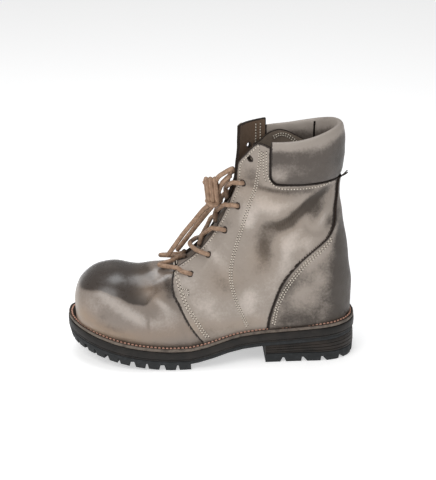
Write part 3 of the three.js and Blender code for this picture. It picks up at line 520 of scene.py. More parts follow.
def build_lace(s):
    around, along = s.value("around"), s.value("along")
    seam = s.math("ABSOLUTE", s.math("SUBTRACT", s.math("FRACT", s.math("MULTIPLY", around, 3.0)), 0.5))
    groove = s.ramp(seam, 0.11, 0.02)
    wave = s.math("SINE", s.math("ADD", s.math("MULTIPLY", along, 5.2), s.math("MULTIPLY", around, 12.566)))
    dirt = s.noise(s.place(), 260.0, 4.0, 0.65)
    shade = s.mix(s.ramp(dirt, 0.3, 0.75), colour("#896B54"), colour("#B6967C"))
    # Darker in the groove between the strands: painted shade.
    shade = s.mix(s.math("MULTIPLY", groove, 0.4), shade, colour("#6A523E"))
    shade = s.mix(s.math("MULTIPLY", s.value("shade"), 0.85), shade, colour("#3A2C22"))
    height = s.math("SUBTRACT", s.math("MULTIPLY", wave, 0.35), s.math("MULTIPLY", groove, 1.2))
    return shade, s.math("MULTIPLY_ADD", dirt, 0.2, 0.5), height


lace_cord = surface_of("waxed lace", build_lace, coat=0.1, bump=0.5, sheen=0.1)
print("materials:", len(bpy.data.materials))

# %% [markdown]
# ## The shape of the sole
# The sole's outline is two half breadths along its length, one for the outer and one for the
# inner side, and its height is a toe spring and a heel rise. These are the numbers that the CAD
# solids were made from, so whatever is laid over them lies in place.

# %% Sole shape
SOLE_LENGTH, BALL_WIDTH, HEEL_WIDTH, HEEL_LENGTH = 304.0, 112.0, 78.0, 97.0
FORE_LENGTH, TOE_SPRING, TOE_SWAY, HEEL_RISE = 128.0, 22.0, 6.0, 19.0
LUG_DEPTH, RUBBER_BASE, WAIST_RUBBER = 7.2, 3.0, 3.7
MIDSOLE, WELT, LIFT_HEIGHT, GAP = 10.0, 3.4, 9.4, 0.3
WELT_MARGIN, TOE_HEIGHT, INSTEP_HEIGHT, SHAFT_RISE = 8.5, 73.5, 77.5, 150.5
COLLAR_HEIGHT, SHAFT_LENGTH, SHAFT_WIDTH, BACK_LEAN = 208.0, 104.5, 72.0, 12.5
WALL, OVERLAY, THROAT_GAP, THROAT_ALONG = 1.9, 1.5, 27.0, 0.3746
PAD_OUT, PAD_IN, PAD_SEAM_UP, PAD_ACROSS, SINK = 5.8, 4.4, 0.6146, 0.30, 7.0
HOLE = 5.2
TOE_X, HEEL_X = -SOLE_LENGTH / 2, SOLE_LENGTH / 2
BREAST_X = TOE_X + FORE_LENGTH
HEEL_BREAST_X = HEEL_X - HEEL_LENGTH
ALONG = [0, 0.15, 0.29, 0.35, 0.45, 0.54, 0.62, 0.70, 0.80, 1]
OUTER_BALL = smooth_curve(ALONG, [0.91, 0.96, 0.99, 1.00, 0.965, 0.86, 0.38, 0, 0, 0])
OUTER_HEEL = smooth_curve(ALONG, [0, 0, 0, 0, 0, 0, 0.55, 1.02, 1, 1])
INNER_BALL = smooth_curve(ALONG, [0.97, 0.99, 1.00, 0.98, 0.88, 0.75, 0.30, 0, 0, 0])
INNER_HEEL = smooth_curve(ALONG, [0, 0, 0, 0, 0, 0, 0.54, 0.96, 0.98, 1])
ARCH = smooth_curve([0.42, 0.47, 0.54, 0.605, 0.68, 0.79, 0.87, 1],
                    [0, 0.15, 0.41, 0.57, 0.64, 0.73, 0.84, 1])
TOE_ROUND, HEEL_ROUND, ROUND_POWER, SWAY_END = 0.25, 0.135, 2.2, 0.3
SPRING_START, SPRING_POWER = 0.362, 1.7


def share(x):
    return (x - TOE_X) / SOLE_LENGTH


def end_round(u):
    return np.clip(1 - np.clip(u, 0, None) ** ROUND_POWER, 0, None) ** (1 / ROUND_POWER)


def sway(x):
    return TOE_SWAY * np.clip(1 - share(x) / SWAY_END, 0, 1) ** 2


def half_breadth(side, x, margin):
    u = np.clip((x - TOE_X - margin) / (SOLE_LENGTH - 2 * margin), 0, 1)
    ball = np.where(side < 0, OUTER_BALL(u), INNER_BALL(u))
    heel = np.where(side < 0, OUTER_HEEL(u), INNER_HEEL(u))
    full = (ball * BALL_WIDTH + heel * HEEL_WIDTH) / 2 - margin
    return full * end_round((TOE_ROUND - u) / TOE_ROUND) * end_round((u - 1 + HEEL_ROUND) / HEEL_ROUND)


def spring_at(x):
    return TOE_SPRING * np.clip(1 - share(x) / SPRING_START, 0, None) ** SPRING_POWER


def rubber_top(x):
    rise = np.where(share(x) > 0.42, HEEL_RISE * ARCH(share(x)), 0)
    return LUG_DEPTH + RUBBER_BASE + spring_at(x) + rise


def waist_bottom(x):
    u = np.clip((x - BREAST_X) / (HEEL_BREAST_X - BREAST_X) * 2, 0, 1)
    return rubber_top(x) - (RUBBER_BASE + 1 + (WAIST_RUBBER - RUBBER_BASE - 1) * u * (2 - u))


def midsole_bottom(x):
    return rubber_top(x) + GAP


def midsole_top(x):
    return midsole_bottom(x) + MIDSOLE


def welt_bottom(x):
    return midsole_top(x) + GAP


def feather(x):
    return welt_bottom(x) + WELT


print("sole shape ready, heel seat at", round(float(feather(HEEL_X)), 1), "mm")

# %% [markdown]
# ## The shape of the last
# A bootmaker starts from a last, the solid foot that leather is pulled over. Here it is a fan of
# sections that goes from the toe over the instep, round the heel and up the shaft. A place on it
# is a section number and a turn: turn 0 is the lower end of a section and half a circle its top.

# %% Last shape
LAST_NAMES = ["foot", "lean", "rise", "top", "front", "toe", "instep", "shaft", "outer", "inner", "leg",
              "widest", "crown"]
T = THROAT_ALONG
LAST_ROWS = [
    [0.000, 0, 0, -0.003, 0, 0.450, 0.00, 0, 0.000, 0.000, 0, 0.32, 2.30],
    [0.004, 0, 0, 0.000, 0, 0.560, 0.00, 0, 0.270, 0.300, 0, 0.32, 2.30],
    [0.018, 0, 0, 0.013, 0, 0.720, 0.00, 0, 0.500, 0.540, 0, 0.33, 2.30],
    [0.046, 0, 0, 0.044, 0, 0.865, 0.00, 0, 0.680, 0.710, 0, 0.33, 2.32],
    [0.092, 0, 0, 0.091, 0, 0.965, 0.00, 0, 0.805, 0.830, 0, 0.33, 2.35],
    [0.150, 0, 0, 0.148, 0, 1.000, 0.00, 0, 0.870, 0.885, 0, 0.32, 2.32],
    [0.228, 0, 0, 0.221, 0, 0.700, 0.25, 0, 0.905, 0.895, 0, 0.30, 2.15],
    [0.318, 0, 0, 0.298, 0, 0.200, 0.77, 0, 0.905, 0.875, 0, 0.28, 2.00],
    [0.412, 0, 0, T, 0, 0, 1, 0, 0.870, 0.815, 0, 0.27, 1.90],
    [0.500, 0, 0, T, 0.27, 0, 1, 0.093, 0.910, 0.840, 0.30, 0.28, 1.85],
    [0.587, 0, 0, T, 0.53, 0, 1, 0.223, 0.965, 0.900, 0.60, 0.32, 1.85],
    [0.681, 0, 0, T, 0.68, 0, 1, 0.349, 1.020, 0.970, 0.85, 0.37, 1.88],
    [0.793, 0, 0, T, 0.80, 0, 1, 0.462, 1.060, 1.020, 1, 0.42, 1.92],
    [0.890, 0, 0, T, 0.865, 0, 1, 0.548, 1.040, 1.010, 1, 0.45, 1.97],
    [0.955, 0, 0, T, 0.900, 0, 1, 0.601, 1.020, 1.000, 1, 0.46, 2.00],
    [0.990, 0, 0, T, 0.915, 0, 1, 0.641, 1.010, 0.995, 1, 0.46, 2.03],
    [1, 0, 0, T, 0.925, 0, 1, 0.674, 1.000, 0.990, 1, 0.46, 2.05],
    [1, -0.06, 0.10, T, 0.935, 0, 1, 0.708, 0.995, 0.985, 1, 0.46, 2.08],
    [1, -0.04, 0.20, T, 0.945, 0, 1, 0.741, 0.985, 0.975, 1, 0.46, 2.10],
    [1, 0.22, 0.31, T, 0.955, 0, 1, 0.774, 0.975, 0.965, 1, 0.46, 2.10],
    [1, 0.50, 0.435, T, 0.965, 0, 1, 0.814, 0.965, 0.955, 1, 0.46, 2.12],
    [1, 0.88, 0.555, T, 0.972, 0, 1, 0.847, 0.960, 0.955, 1, 0.46, 2.15],
    [1, 1.14, 0.675, T, 0.980, 0, 1, 0.887, 0.965, 0.960, 1, 0.46, 2.15],
    [1, 1.02, 0.82, T, 0.987, 0, 1, 0.934, 0.980, 0.975, 1, 0.47, 2.18],
    [1, 0.96, 0.965, T, 0.995, 0, 1, 0.980, 1.000, 1.000, 1, 0.47, 2.20],
    [1, 1.02, 1.09, T, 1.000, 0, 1, 1.040, 1.010, 1.010, 1, 0.47, 2.20],
]
LAST_SECTION = len(LAST_ROWS) - 1
last = {name: smooth_curve(range(len(LAST_ROWS)), [row[i] for row in LAST_ROWS])
        for i, name in enumerate(LAST_NAMES)}


def lasting_x(along):
    return TOE_X + WELT_MARGIN + along * (SOLE_LENGTH - 2 * WELT_MARGIN)


COLLAR_FRONT_X = lasting_x(1) - BACK_LEAN - SHAFT_LENGTH
FRONT_RUN = COLLAR_FRONT_X - lasting_x(THROAT_ALONG)
FOOT_LEVEL = float(feather(BREAST_X))


def chord(k):
    x = lasting_x(last["foot"](k))
    high = last["toe"](k) * TOE_HEIGHT + last["instep"](k) * INSTEP_HEIGHT + last["shaft"](k) * SHAFT_RISE
    return (x - last["lean"](k) * BACK_LEAN, feather(x) - SINK + last["rise"](k) * COLLAR_HEIGHT,
            lasting_x(last["top"](k)) + last["front"](k) * FRONT_RUN, FOOT_LEVEL + high)


def breadth(k, t, side):
    part = np.where(side < 0, last["outer"](k), last["inner"](k))
    leg = last["leg"](k)
    full = part * (BALL_WIDTH + (SHAFT_WIDTH - BALL_WIDTH) * leg) / 2
    widest, crown = last["widest"](k), last["crown"](k)
    upper = full * np.clip(1 - np.clip((t - widest) / (1 - widest), 0, 1) ** crown, 0, None) ** (1 / crown)
    foot = half_breadth(side, lasting_x(last["foot"](k)), WELT_MARGIN) / np.where(full > 0, full, 1)
    base = np.where(last["rise"](k) > 0, 0, np.where(full > 0, np.minimum(1, foot), 1))
    u = 1 - t / widest
    lower = full * (base + (1 - base) * np.clip(1 - u * u, 0, None) ** (0.5 + 0.5 * base))
    return np.where(t >= widest, upper, lower)


def surface(k, turn, side):
    t = (1 - np.cos(turn)) / 2
    x0, z0, x1, z1 = chord(k)
    y = sway(lasting_x(last["foot"](k))) + side * breadth(k, t, side)
    return np.stack([x0 + (x1 - x0) * t, y, z0 + (z1 - z0) * t], axis=-1)


print("last has", len(LAST_ROWS), "sections, foot level", round(FOOT_LEVEL, 1))

# %% [markdown]
# ### Finding a place on the last
# Seams are drawn in the side view, as a maker draws them on the side of the last. To carry such
# a place onto the leather, the section that passes through it is found by halving.

# %% Locate
def outward(k, turn, side):
    step, pole = 0.03, 1e-4
    ahead, behind = np.minimum(k + step, LAST_SECTION), np.maximum(k - step, 0)
    above, below = np.minimum(turn + step, math.pi - pole), np.maximum(turn - step, pole)
    along = surface(ahead, turn, side) - surface(behind, turn, side)
    around = surface(k, above, side) - surface(k, below, side)
    normal = np.cross(along, around) * np.where(np.asarray(side) < 0, 1, -1)[..., None]
    return normal / np.maximum(np.linalg.norm(normal, axis=-1), 1e-9)[..., None]


def locate(x, z):
    low, high = np.zeros(len(x)), np.full(len(x), float(LAST_SECTION))
    for _ in range(32):
        middle = (low + high) / 2
        x0, z0, x1, z1 = chord(middle)
        ahead = (x1 - x0) * (z - z0) - (z1 - z0) * (x - x0) < 0
        low, high = np.where(ahead, middle, low), np.where(ahead, high, middle)
    x0, z0, x1, z1 = chord(low)
    t = ((x - x0) * (x1 - x0) + (z - z0) * (z1 - z0)) / ((x1 - x0) ** 2 + (z1 - z0) ** 2)
    return low, np.arccos(1 - 2 * np.clip(t, 0, 1))


def line_at(end, start, z):
    ks = np.linspace(start, LAST_SECTION, 400)
    x0, z0, x1, z1 = chord(ks)
    return np.interp(z, z1 if end == "top" else z0, x1 if end == "top" else x0)


def back_at(z):
    return line_at("bottom", 16, z)


def front_at(z):
    return line_at("top", 8, z)


LEG_HEIGHT = INSTEP_HEIGHT + SHAFT_RISE
SHAFT_FOOT = FOOT_LEVEL + INSTEP_HEIGHT


def spots(points):
    return [(lasting_x(along), FOOT_LEVEL + up * LEG_HEIGHT) for along, up in points]


def shaft_spots(points):
    return [(COLLAR_FRONT_X + across * SHAFT_LENGTH, SHAFT_FOOT + up * SHAFT_RISE) for across, up in points]


OUTER_FACING_TOP = fair(shaft_spots([(-0.158, 0.648), (-0.024, 0.668), (0.005, 0.721), (0.043, 0.774),
                                     (0.10, 0.831), (0.158, 0.884), (0.196, 0.896), (0.244, 0.887),
                                     (0.32, 0.865)]), 1.0)
INNER_FACING_TOP = fair(shaft_spots([(-0.158, 0.867), (-0.043, 0.880), (-0.005, 0.917), (0.043, 0.937),
                                     (0.177, 0.947), (0.32, 0.955)]), 1.0)
VAMP_SEAM = fair(spots([(0.41, 0.42), (0.385, 0.368), (0.371, 0.340), (0.360, 0.307), (0.354, 0.272),
                        (0.359, 0.235), (0.376, 0.195), (0.411, 0.1075), (0.446, 0.040), (0.472, 0.00),
                        (0.50, -0.05)]), 1.0)
COUNTER_EDGE = fair(spots([(0.683, -0.06), (0.690, 0.01), (0.6986, 0.057), (0.7056, 0.123), (0.723, 0.197),
                           (0.7533, 0.294), (0.806, 0.379), (0.859, 0.441), (0.9077, 0.4934), (0.9286, 0.546),
                           (0.9314, 0.614), (0.9408, 0.684), (0.944, 0.80)]), 1.0)
TONGUE_EDGE = fair(spots([(0.29, 0.27), (0.43, 0.245), (0.52, 0.35), (0.60, 0.485), (0.675, 0.614),
                          (0.772, 0.754), (0.85, 0.85), (0.80, 0.90), (0.752, 0.921), (0.71, 0.908),
                          (0.665, 0.872), (0.58, 0.86), (0.29, 0.86), (0.29, 0.27)]), 2.0)
PAD_FRONT = COLLAR_FRONT_X + PAD_ACROSS * SHAFT_LENGTH
PAD_SEAM = SHAFT_FOOT + PAD_SEAM_UP * SHAFT_RISE
RIM = smooth_curve([0.30, 0.51, 0.70, 0.85, 1.00, 1.15], [0.905, 0.914, 0.937, 0.963, 0.987, 0.990])


def rim_at(x):
    return SHAFT_FOOT + RIM((x - COLLAR_FRONT_X) / SHAFT_LENGTH) * SHAFT_RISE


print("pad front", round(PAD_FRONT, 1), "pad seam", round(PAD_SEAM, 1))

# %% [markdown]
# ## Creases
# A worn boot folds where the ankle bends. Each fold is a chain of soft spots along a line in the
# side view, a trough or a ridge: its places, width and height are chosen, and the leather is
# moved along its normal by that amount. Spots add up without a kink, where a plain distance from
# the line would leave one. The vamp, quarters, counter and the stitches on them ask the same function, so
# they move together.

# %% Creases
# line, width, height (a trough is below zero)
CREASES = [
    ([(48, 152), (60, 150), (72, 152), (83, 161), (91, 170), (100, 177), (112, 182.5), (124, 187)],
     5.5, -4.2),
    ([(52, 150), (55, 138), (55, 122), (50, 104), (47, 90)], 9.0, -2.0),
    ([(60, 178), (74, 179), (84, 183)], 8.0, 1.7),
    ([(84, 150), (76, 134), (70, 116), (66, 98)], 8.0, 1.9),
    ([(96, 160), (95, 151), (100, 144), (109, 141.5), (119, 144)], 3.2, -1.8),
    ([(103, 148), (108, 157), (115, 167)], 6.0, 2.2),
    ([(96, 170), (103, 160)], 4.5, -1.3),
    ([(115, 160), (121, 149)], 4.5, -1.5),
    ([(90, 137), (92, 127), (97, 121)], 3.5, -0.9),
    ([(47, 193), (56, 188), (68, 186), (86, 186)], 3.6, -1.5),
    ([(24, 143), (13, 129), (3, 117), (-6, 106), (-15, 94)], 3.6, 1.4),
    ([(27, 136), (17, 121), (9, 104), (3, 88)], 7.5, -1.2),
    ([(-36, 108), (-51, 103), (-68, 97), (-82, 93)], 4.5, 1.1),
    ([(-38, 103), (-51, 97), (-65, 90)], 4.0, -1.2),
    ([(-38, 96), (-52, 88), (-70, 82)], 6.0, 0.8),
    ([(-36, 88), (-44, 80), (-50, 70)], 7.0, -0.7),
    ([(22, 196), (30, 186), (37, 170)], 7.0, -0.8),
    ([(60, 70), (76, 62), (96, 58)], 14.0, -0.9),
    ([(128, 166), (126, 152), (118, 139), (108, 127)], 5.0, 1.0),
    ([(112, 100), (122, 86), (126, 70)], 12.0, 0.8),
]
INNER_SHARE = 0.75


def relief(x, z, side):
    height = np.zeros(len(x))
    for line, width, peak in CREASES:
        line = fair(line, width / 2)
        fade = np.sin(np.linspace(0.15, math.pi - 0.15, len(line))) ** 0.6
        near = np.exp(-((x[:, None] - line[:, 0]) ** 2 + (z[:, None] - line[:, 1]) ** 2) / width ** 2)
        height += peak * (near @ fade) / (2 * math.sqrt(math.pi))
    height += 0.35 * np.sin(x * 0.11 + z * 0.07) * np.sin(z * 0.09 - x * 0.05 + 1.3)
    return height * np.where(side < 0, 1.0, INNER_SHARE)


print("creases:", len(CREASES))

# %% [markdown]
# ## Leather sheets
# All the upper's layers are cut from one fine sheet laid over the last. A cut is made by giving
# each point a value that is above zero where the leather stays, and clipping the triangles where
# it crosses zero. Points close to the cut are first slid onto it, which keeps triangles in shape.

# %% The sheet over the last
def last_sheet(spacing):
    checks = np.linspace(0.05, math.pi, 9)
    ks = [0.0]
    for k in range(LAST_SECTION):
        here, there = np.full(9, float(k)), np.full(9, k + 1.0)
        reach = max(np.linalg.norm(surface(there, checks, side) - surface(here, checks, side), axis=1).max()
                    for side in (-1, 1))
        count = max(1, int(math.ceil(reach / spacing)))
        ks += [k + (i + 1) / count for i in range(count)]
    ks = np.array(ks)
    columns = int(round(190 / spacing))
    turns = np.linspace(0, 2 * math.pi, 2 * columns + 1)
    k, a = np.meshgrid(ks, turns, indexing="ij")
    side = np.where(a <= math.pi, -1.0, 1.0)
    turn = np.where(a <= math.pi, a, 2 * math.pi - a)
    points = surface(k.ravel(), turn.ravel(), side.ravel())
    width = 2 * columns + 1
    index = np.arange(len(ks) * width).reshape(len(ks), width)
    index[0, columns + 1:] = index[0, :columns][::-1]
    index[ks >= 16 - 1e-6, -1] = index[ks >= 16 - 1e-6, 0]
    a0, b0 = index[:-1, :-1].ravel(), index[:-1, 1:].ravel()
    c0, d0 = index[1:, 1:].ravel(), index[1:, :-1].ravel()
    faces = np.concatenate([np.stack([a0, c0, b0], 1), np.stack([a0, d0, c0], 1)])
    whole = (faces[:, 0] != faces[:, 1]) & (faces[:, 1] != faces[:, 2]) & (faces[:, 2] != faces[:, 0])
    faces = faces[whole]
    normals = vertex_normals(points, faces)
    return np.column_stack([points, normals, a.ravel()]), faces


def vertex_normals(points, faces):
    corner = points[faces]
    flat = np.cross(corner[:, 1] - corner[:, 0], corner[:, 2] - corner[:, 0])
    normals = np.zeros((len(points), 3))
    for i in range(3):
        np.add.at(normals, faces[:, i], flat)
    return normals / np.maximum(np.linalg.norm(normals, axis=1), 1e-12)[:, None]


def trim(points, faces, value, near=0.22):
    """Keep the part of a sheet where value is above zero."""
    points, value = points.copy(), value.copy()
    edges = np.concatenate([faces[:, [0, 1]], faces[:, [1, 2]], faces[:, [2, 0]]])
    pairs = np.unique(np.sort(edges, axis=1), axis=0)
    a, b = pairs.T
    cross = value[a] * value[b] < 0
    a, b = a[cross], b[cross]
    part = value[a] / (value[a] - value[b])
    spot = points[a] + (points[b] - points[a]) * part[:, None]
    for ends, close in ((a, part < near), (b, part > 1 - near)):
        points[ends[close]] = spot[close]
        value[ends[close]] = 0
    inside = value[faces] >= 0
    count = inside.sum(axis=1)
    live = value[faces].max(axis=1) > 0
    kept = [faces[(count == 3) & live]]
    mixed, flags = faces[((count == 1) | (count == 2)) & live], inside[((count == 1) | (count == 2)) & live]
    alone_in = flags.sum(axis=1) == 1
    lone = np.argmax(flags == alone_in[:, None], axis=1)
    rolled = mixed[np.arange(len(mixed))[:, None], (lone[:, None] + np.arange(3)) % 3]
    a, b, c = rolled.T
    ends = np.sort(np.stack([np.concatenate([a, a]), np.concatenate([b, c])], axis=1), axis=1)
    unique, where = np.unique(ends, axis=0, return_inverse=True)
    va, vb = value[unique[:, 0]], value[unique[:, 1]]
    part = va / np.where(np.abs(va - vb) > 1e-12, va - vb, 1)
    new = points[unique[:, 0]] + (points[unique[:, 1]] - points[unique[:, 0]]) * part[:, None]
    number = len(points) + np.arange(len(unique))
    number = np.where(vb == 0, unique[:, 1], np.where(va == 0, unique[:, 0], number))[where.ravel()]
    ab, ac = number[:len(a)], number[len(a):]
    kept.append(np.stack([a, ab, ac], 1)[alone_in])
    kept.append(np.stack([ab, b, c], 1)[~alone_in])
    kept.append(np.stack([ab, c, ac], 1)[~alone_in])
    faces = np.concatenate(kept)
    whole = (faces[:, 0] != faces[:, 1]) & (faces[:, 1] != faces[:, 2]) & (faces[:, 2] != faces[:, 0])
    used, faces = np.unique(faces[whole], return_inverse=True)
    return np.concatenate([points, new])[used], faces.reshape(-1, 3)


sheet_points, sheet_faces = last_sheet(2.3)
print("sheet:", len(sheet_points), "points")

# %% [markdown]
# ### Where the leather ends
# Each edge of the pattern is one function of the places on the sheet: how far, in millimetres, a
# place lies inside the edge.

# %% Pattern edges
def flat_pad_window(p, margin):
    radius = 9.0
    dx, dz = p[:, 0] - PAD_FRONT + margin, p[:, 2] - PAD_SEAM + margin
    corner = radius - np.hypot(np.minimum(dx - radius, 0), np.minimum(dz - radius, 0))
    return -np.where((dx < radius) & (dz < radius), corner, np.minimum(dx, dz))


def below_facing_top(p):
    outer = np.interp(p[:, 0], OUTER_FACING_TOP[:, 0], OUTER_FACING_TOP[:, 1]) - p[:, 2]
    inner = np.interp(p[:, 0], INNER_FACING_TOP[:, 0], INNER_FACING_TOP[:, 1]) - p[:, 2]
    top = np.where(p[:, 1] < 0, outer, inner)
    return np.where(p[:, 0] > OUTER_FACING_TOP[-1, 0], 50.0, top)


def beside_throat(p, low, rounded):
    half = THROAT_GAP / 2
    if rounded:
        above_round = p[:, 2] > low + half
        slot = np.where(above_round, np.abs(p[:, 1]), np.hypot(p[:, 1], p[:, 2] - low - half)) - half
    else:
        slot = np.maximum(np.abs(p[:, 1]) - half, low - p[:, 2])
    return np.maximum(slot, (np.abs(p[:, 6] - math.pi) - math.pi / 2) * 30)


def behind_vamp_seam(p):
    order = np.argsort(VAMP_SEAM[:, 1])
    return (p[:, 0] - np.interp(p[:, 2], VAMP_SEAM[order, 1], VAMP_SEAM[order, 0])) * 0.9


def behind_counter_edge(p):
    return (p[:, 0] - np.interp(p[:, 2], COUNTER_EDGE[:, 1], COUNTER_EDGE[:, 0])) * 0.8


def inside_line(p, line):
    away = near_line(p[:, 0], p[:, 2], line)
    inside = np.zeros(len(p), dtype=bool)
    for (ax, az), (bx, bz) in zip(line[:-1], line[1:]):
        spans = (az > p[:, 2]) != (bz > p[:, 2])
        inside ^= spans & (p[:, 0] < (bx - ax) * (p[:, 2] - az) / (bz - az if bz != az else 1e-9) + ax)
    return np.where(inside, away, -away)


# height up the shaft, share of half the shaft's width
HOLE_ROWS = [(0.781, 0.658), (0.602, 0.547), (0.440, 0.583), (0.268, 0.600), (0.095, 0.656), (-0.037, 0.756)]
HOLE_UPS = [up for up, _ in HOLE_ROWS]
HOLE_BREADTHS = [part * SHAFT_WIDTH / 2 for _, part in HOLE_ROWS]


def on_upper(side, x, z, offset, folded=True):
    """Places on the leather, offset millimetres out from the last, with the creases."""
    x, z = np.atleast_1d(np.asarray(x, float)), np.atleast_1d(np.asarray(z, float))
    side = np.broadcast_to(float(side), x.shape)
    k, turn = locate(x, z)
    lift = np.broadcast_to(offset + (relief(x, z, side) if folded else 0.0), x.shape)
    return surface(k, turn, side) + outward(k, turn, side) * lift[:, None]


def at_breadth(side, y, z, offset):
    """The place at a height where the leather is y from the middle, counted from the front."""
    low = float(front_at(z)) if z > SHAFT_FOOT else -60.0
    xs = np.linspace(low, COLLAR_FRONT_X + SHAFT_LENGTH * 0.4, 240)
    away = np.abs(on_upper(side, xs, np.full(240, float(z)), 0.0, False)[:, 1])
    first = max(1, int(np.argmax(away >= y)))
    x = np.interp(y, away[first - 1:first + 1], xs[first - 1:first + 1])
    return on_upper(side, x, z, float(offset), False)[0]


HOLE_REACH = 6.0
hole_axes = [[at_breadth(side, y, SHAFT_FOOT + up * SHAFT_RISE, offset)
              for offset in (-HOLE_REACH, HOLE_REACH)]
             for side in (-1, 1) for up, y in zip(HOLE_UPS, HOLE_BREADTHS)]


def outside_holes(p):
    best = np.full(len(p), 50.0)
    for a, b in hole_axes:
        way = (b - a) / np.linalg.norm(b - a)
        along = (p[:, :3] - a) @ way
        away = np.linalg.norm(p[:, :3] - a - along[:, None] * way, axis=1)
        beside = np.abs(along - HOLE_REACH) < 1.5 * HOLE_REACH
        best = np.where(beside, np.minimum(best, away - HOLE / 2), best)
    return best


print("holes:", len(hole_axes))

# %% [markdown]
# ### Thickness
# A sheet becomes leather when it gets a second face under the first and a wall along every cut.
# The wall is the raw edge, with a material of its own, and the under side is the lining.

# %% Thickness
def border(faces):
    edges = np.concatenate([faces[:, [0, 1]], faces[:, [1, 2]], faces[:, [2, 0]]])
    keys = np.sort(edges, axis=1)
    _, where, count = np.unique(keys, axis=0, return_inverse=True, return_counts=True)
    return edges[count[where.ravel()] == 1]


def to_border(points, faces, skip=None):
    """How far each point lies from the nearest cut, in millimetres."""
    ends = np.unique(border(faces))
    spots_ = points[ends, :3]
    if skip is not None:
        spots_ = spots_[~skip(spots_)]
    best = np.full(len(points), 1e9)
    for start in range(0, len(points), 2000):
        part = points[start:start + 2000, :3]
        best[start:start + 2000] = np.sqrt(((part[:, None, :] - spots_[None]) ** 2).sum(axis=2).min(axis=1))
    return best


def thicken(points, faces, outer, inner):
    """Offsets along the normals give both faces, and quads close the cuts."""
    way = points[:, 3:6] / np.maximum(np.linalg.norm(points[:, 3:6], axis=1), 1e-9)[:, None]
    outside = points[:, :3] + way * np.asarray(outer).reshape(-1, 1)
    inside = points[:, :3] + way * np.asarray(inner).reshape(-1, 1)
    count = len(points)
    rim = border(faces)
    wall = np.stack([rim[:, 1], rim[:, 0], rim[:, 0] + count, rim[:, 1] + count], axis=1)
    polygons = faces.tolist() + wall.tolist() + (faces[:, ::-1] + count).tolist()
    slots = np.concatenate([np.zeros(len(faces)), np.ones(len(wall)), np.full(len(faces), 2)])
    return np.concatenate([outside, inside]), polygons, slots


def side_of(p):
    return np.where(p[:, 1] < 0, -1.0, 1.0)


print("thickness helper ready")

# %% [markdown]
# ## Patches of colour and painted shade
# Where the leather is darker, lighter or warmer is listed as soft oval patches in the side view: place, half
# lengths, slope and strength. Some tone patches are the leather's own colour; those along the folds and
# ridges of the quarter and on the back of the heel are painted shade and painted highlight. The dark wax on
# the toe ends in a clear lower border, so it is a line of its own. Materials read the sums as attributes.

# %% Tone and shade patches
# Along the folds the dark patches are painted shade in the troughs and the light ones painted highlight on
# the lit sides of the ridges; the long dark patch at x 140 is painted shade on the back of the heel, turned
# from the lamps.
# x, z, half length, half height, slope in degrees, strength
TONE_AND_SHADE_PATCHES = [
    (-99, 70, 26, 7, -30, 0.55), (-80, 58, 15, 8, -38, 0.5), (-124, 66, 12, 8, -50, 0.35),
    (-112, 58, 5, 4, 0, -0.35), (-55, 72, 15, 4, -38, 0.75), (-66, 84, 14, 7, -30, -0.5),
    (-46, 86, 6, 14, 20, -0.75), (-44, 58, 16, 9, -30, 0.3), (-58, 50, 18, 8, -10, 0.3),
    (-106, 45, 18, 5, -14, -0.5), (-67.8, 51, 0.9, 9, 4, -1.0), (-60, 97, 16, 5, -10, 0.35),
    (-18, 84, 14, 24, 60, 0.35), (-12, 60, 16, 20, 70, 0.35), (8, 110, 7, 26, 38, 0.5),
    (16, 96, 12, 24, 55, -0.3), (24, 60, 12, 20, 80, 0.2), (8, 44, 26, 7, -4, -0.25),
    (34, 208, 16, 14, 75, -0.1), (40, 198, 12, 12, 0, -0.3), (50, 172, 16, 10, 60, 0.35),
    (36, 160, 20, 8, 62, 0.35), (20, 150, 8, 16, 60, -0.3), (38, 150, 8, 14, 70, 0.25),
    (52, 140, 16, 10, 90, -0.6), (52, 120, 20, 9, 90, -0.5), (60, 100, 12, 14, 60, -0.2),
    (85, 162, 22, 4.5, 42, -1.3), (70, 152, 16, 6, 5, -0.9), (106, 180, 16, 4, 28, -0.6),
    (72, 172, 16, 6, 15, 0.4), (60, 170, 8, 8, 0, 0.3), (84, 141, 16, 8, 60, 0.35),
    (74, 120, 26, 9, 80, 0.6), (56, 90, 20, 12, 90, 0.4), (38, 74, 16, 12, 90, 0.5),
    (104, 165, 12, 9, 50, -0.55), (110, 158, 4, 10, -30, 0.55), (119, 151, 5, 8, 0, -0.45),
    (96, 132, 12, 6, 20, 0.3), (60, 188, 18, 3.5, -8, -0.7), (90, 188, 30, 3, 0, -0.35),
    (90, 105, 14, 10, 40, 0.25), (106, 116, 14, 5, 42, 0.45), (122, 138, 4, 18, -20, 0.4),
    (84, 70, 12, 20, 70, 0.2), (100, 84, 18, 12, 20, 0.3), (140, 100, 62, 13, 90, -1.5),
    (96, 52, 30, 9, 4, -0.2), (114, 70, 16, 12, 40, -0.12),
]
WARM_PATCHES = [
    (-132, 54, 22, 12, -40, 0.85), (-104, 40, 34, 7, -14, 0.8), (-60, 40, 34, 9, -6, 0.5),
    (-64, 82, 14, 10, -32, 0.6), (-20, 46, 30, 10, -6, 0.4), (12, 92, 18, 14, 0, 0.35),
    (34, 46, 26, 8, 0, 0.35), (46, 110, 14, 20, 0, 0.3), (75, 140, 30, 20, 20, 0.2),
    (30, 190, 16, 30, 70, 0.25), (60, 176, 20, 10, 0, 0.25),
]
GLOSS_PATCHES = [(-90, 96, 60, 22, -8, 0.8), (-50, 100, 24, 14, -18, 0.7), (-110, 70, 40, 20, -20, 0.3)]
# the lower border of the dark wax on the toe: x, z
TOE_WAX = [(-150, 72), (-128, 80), (-116, 81.5), (-109, 80.5), (-95, 75.5), (-82, 70.5), (-71, 69),
           (-60, 76), (-40, 90)]


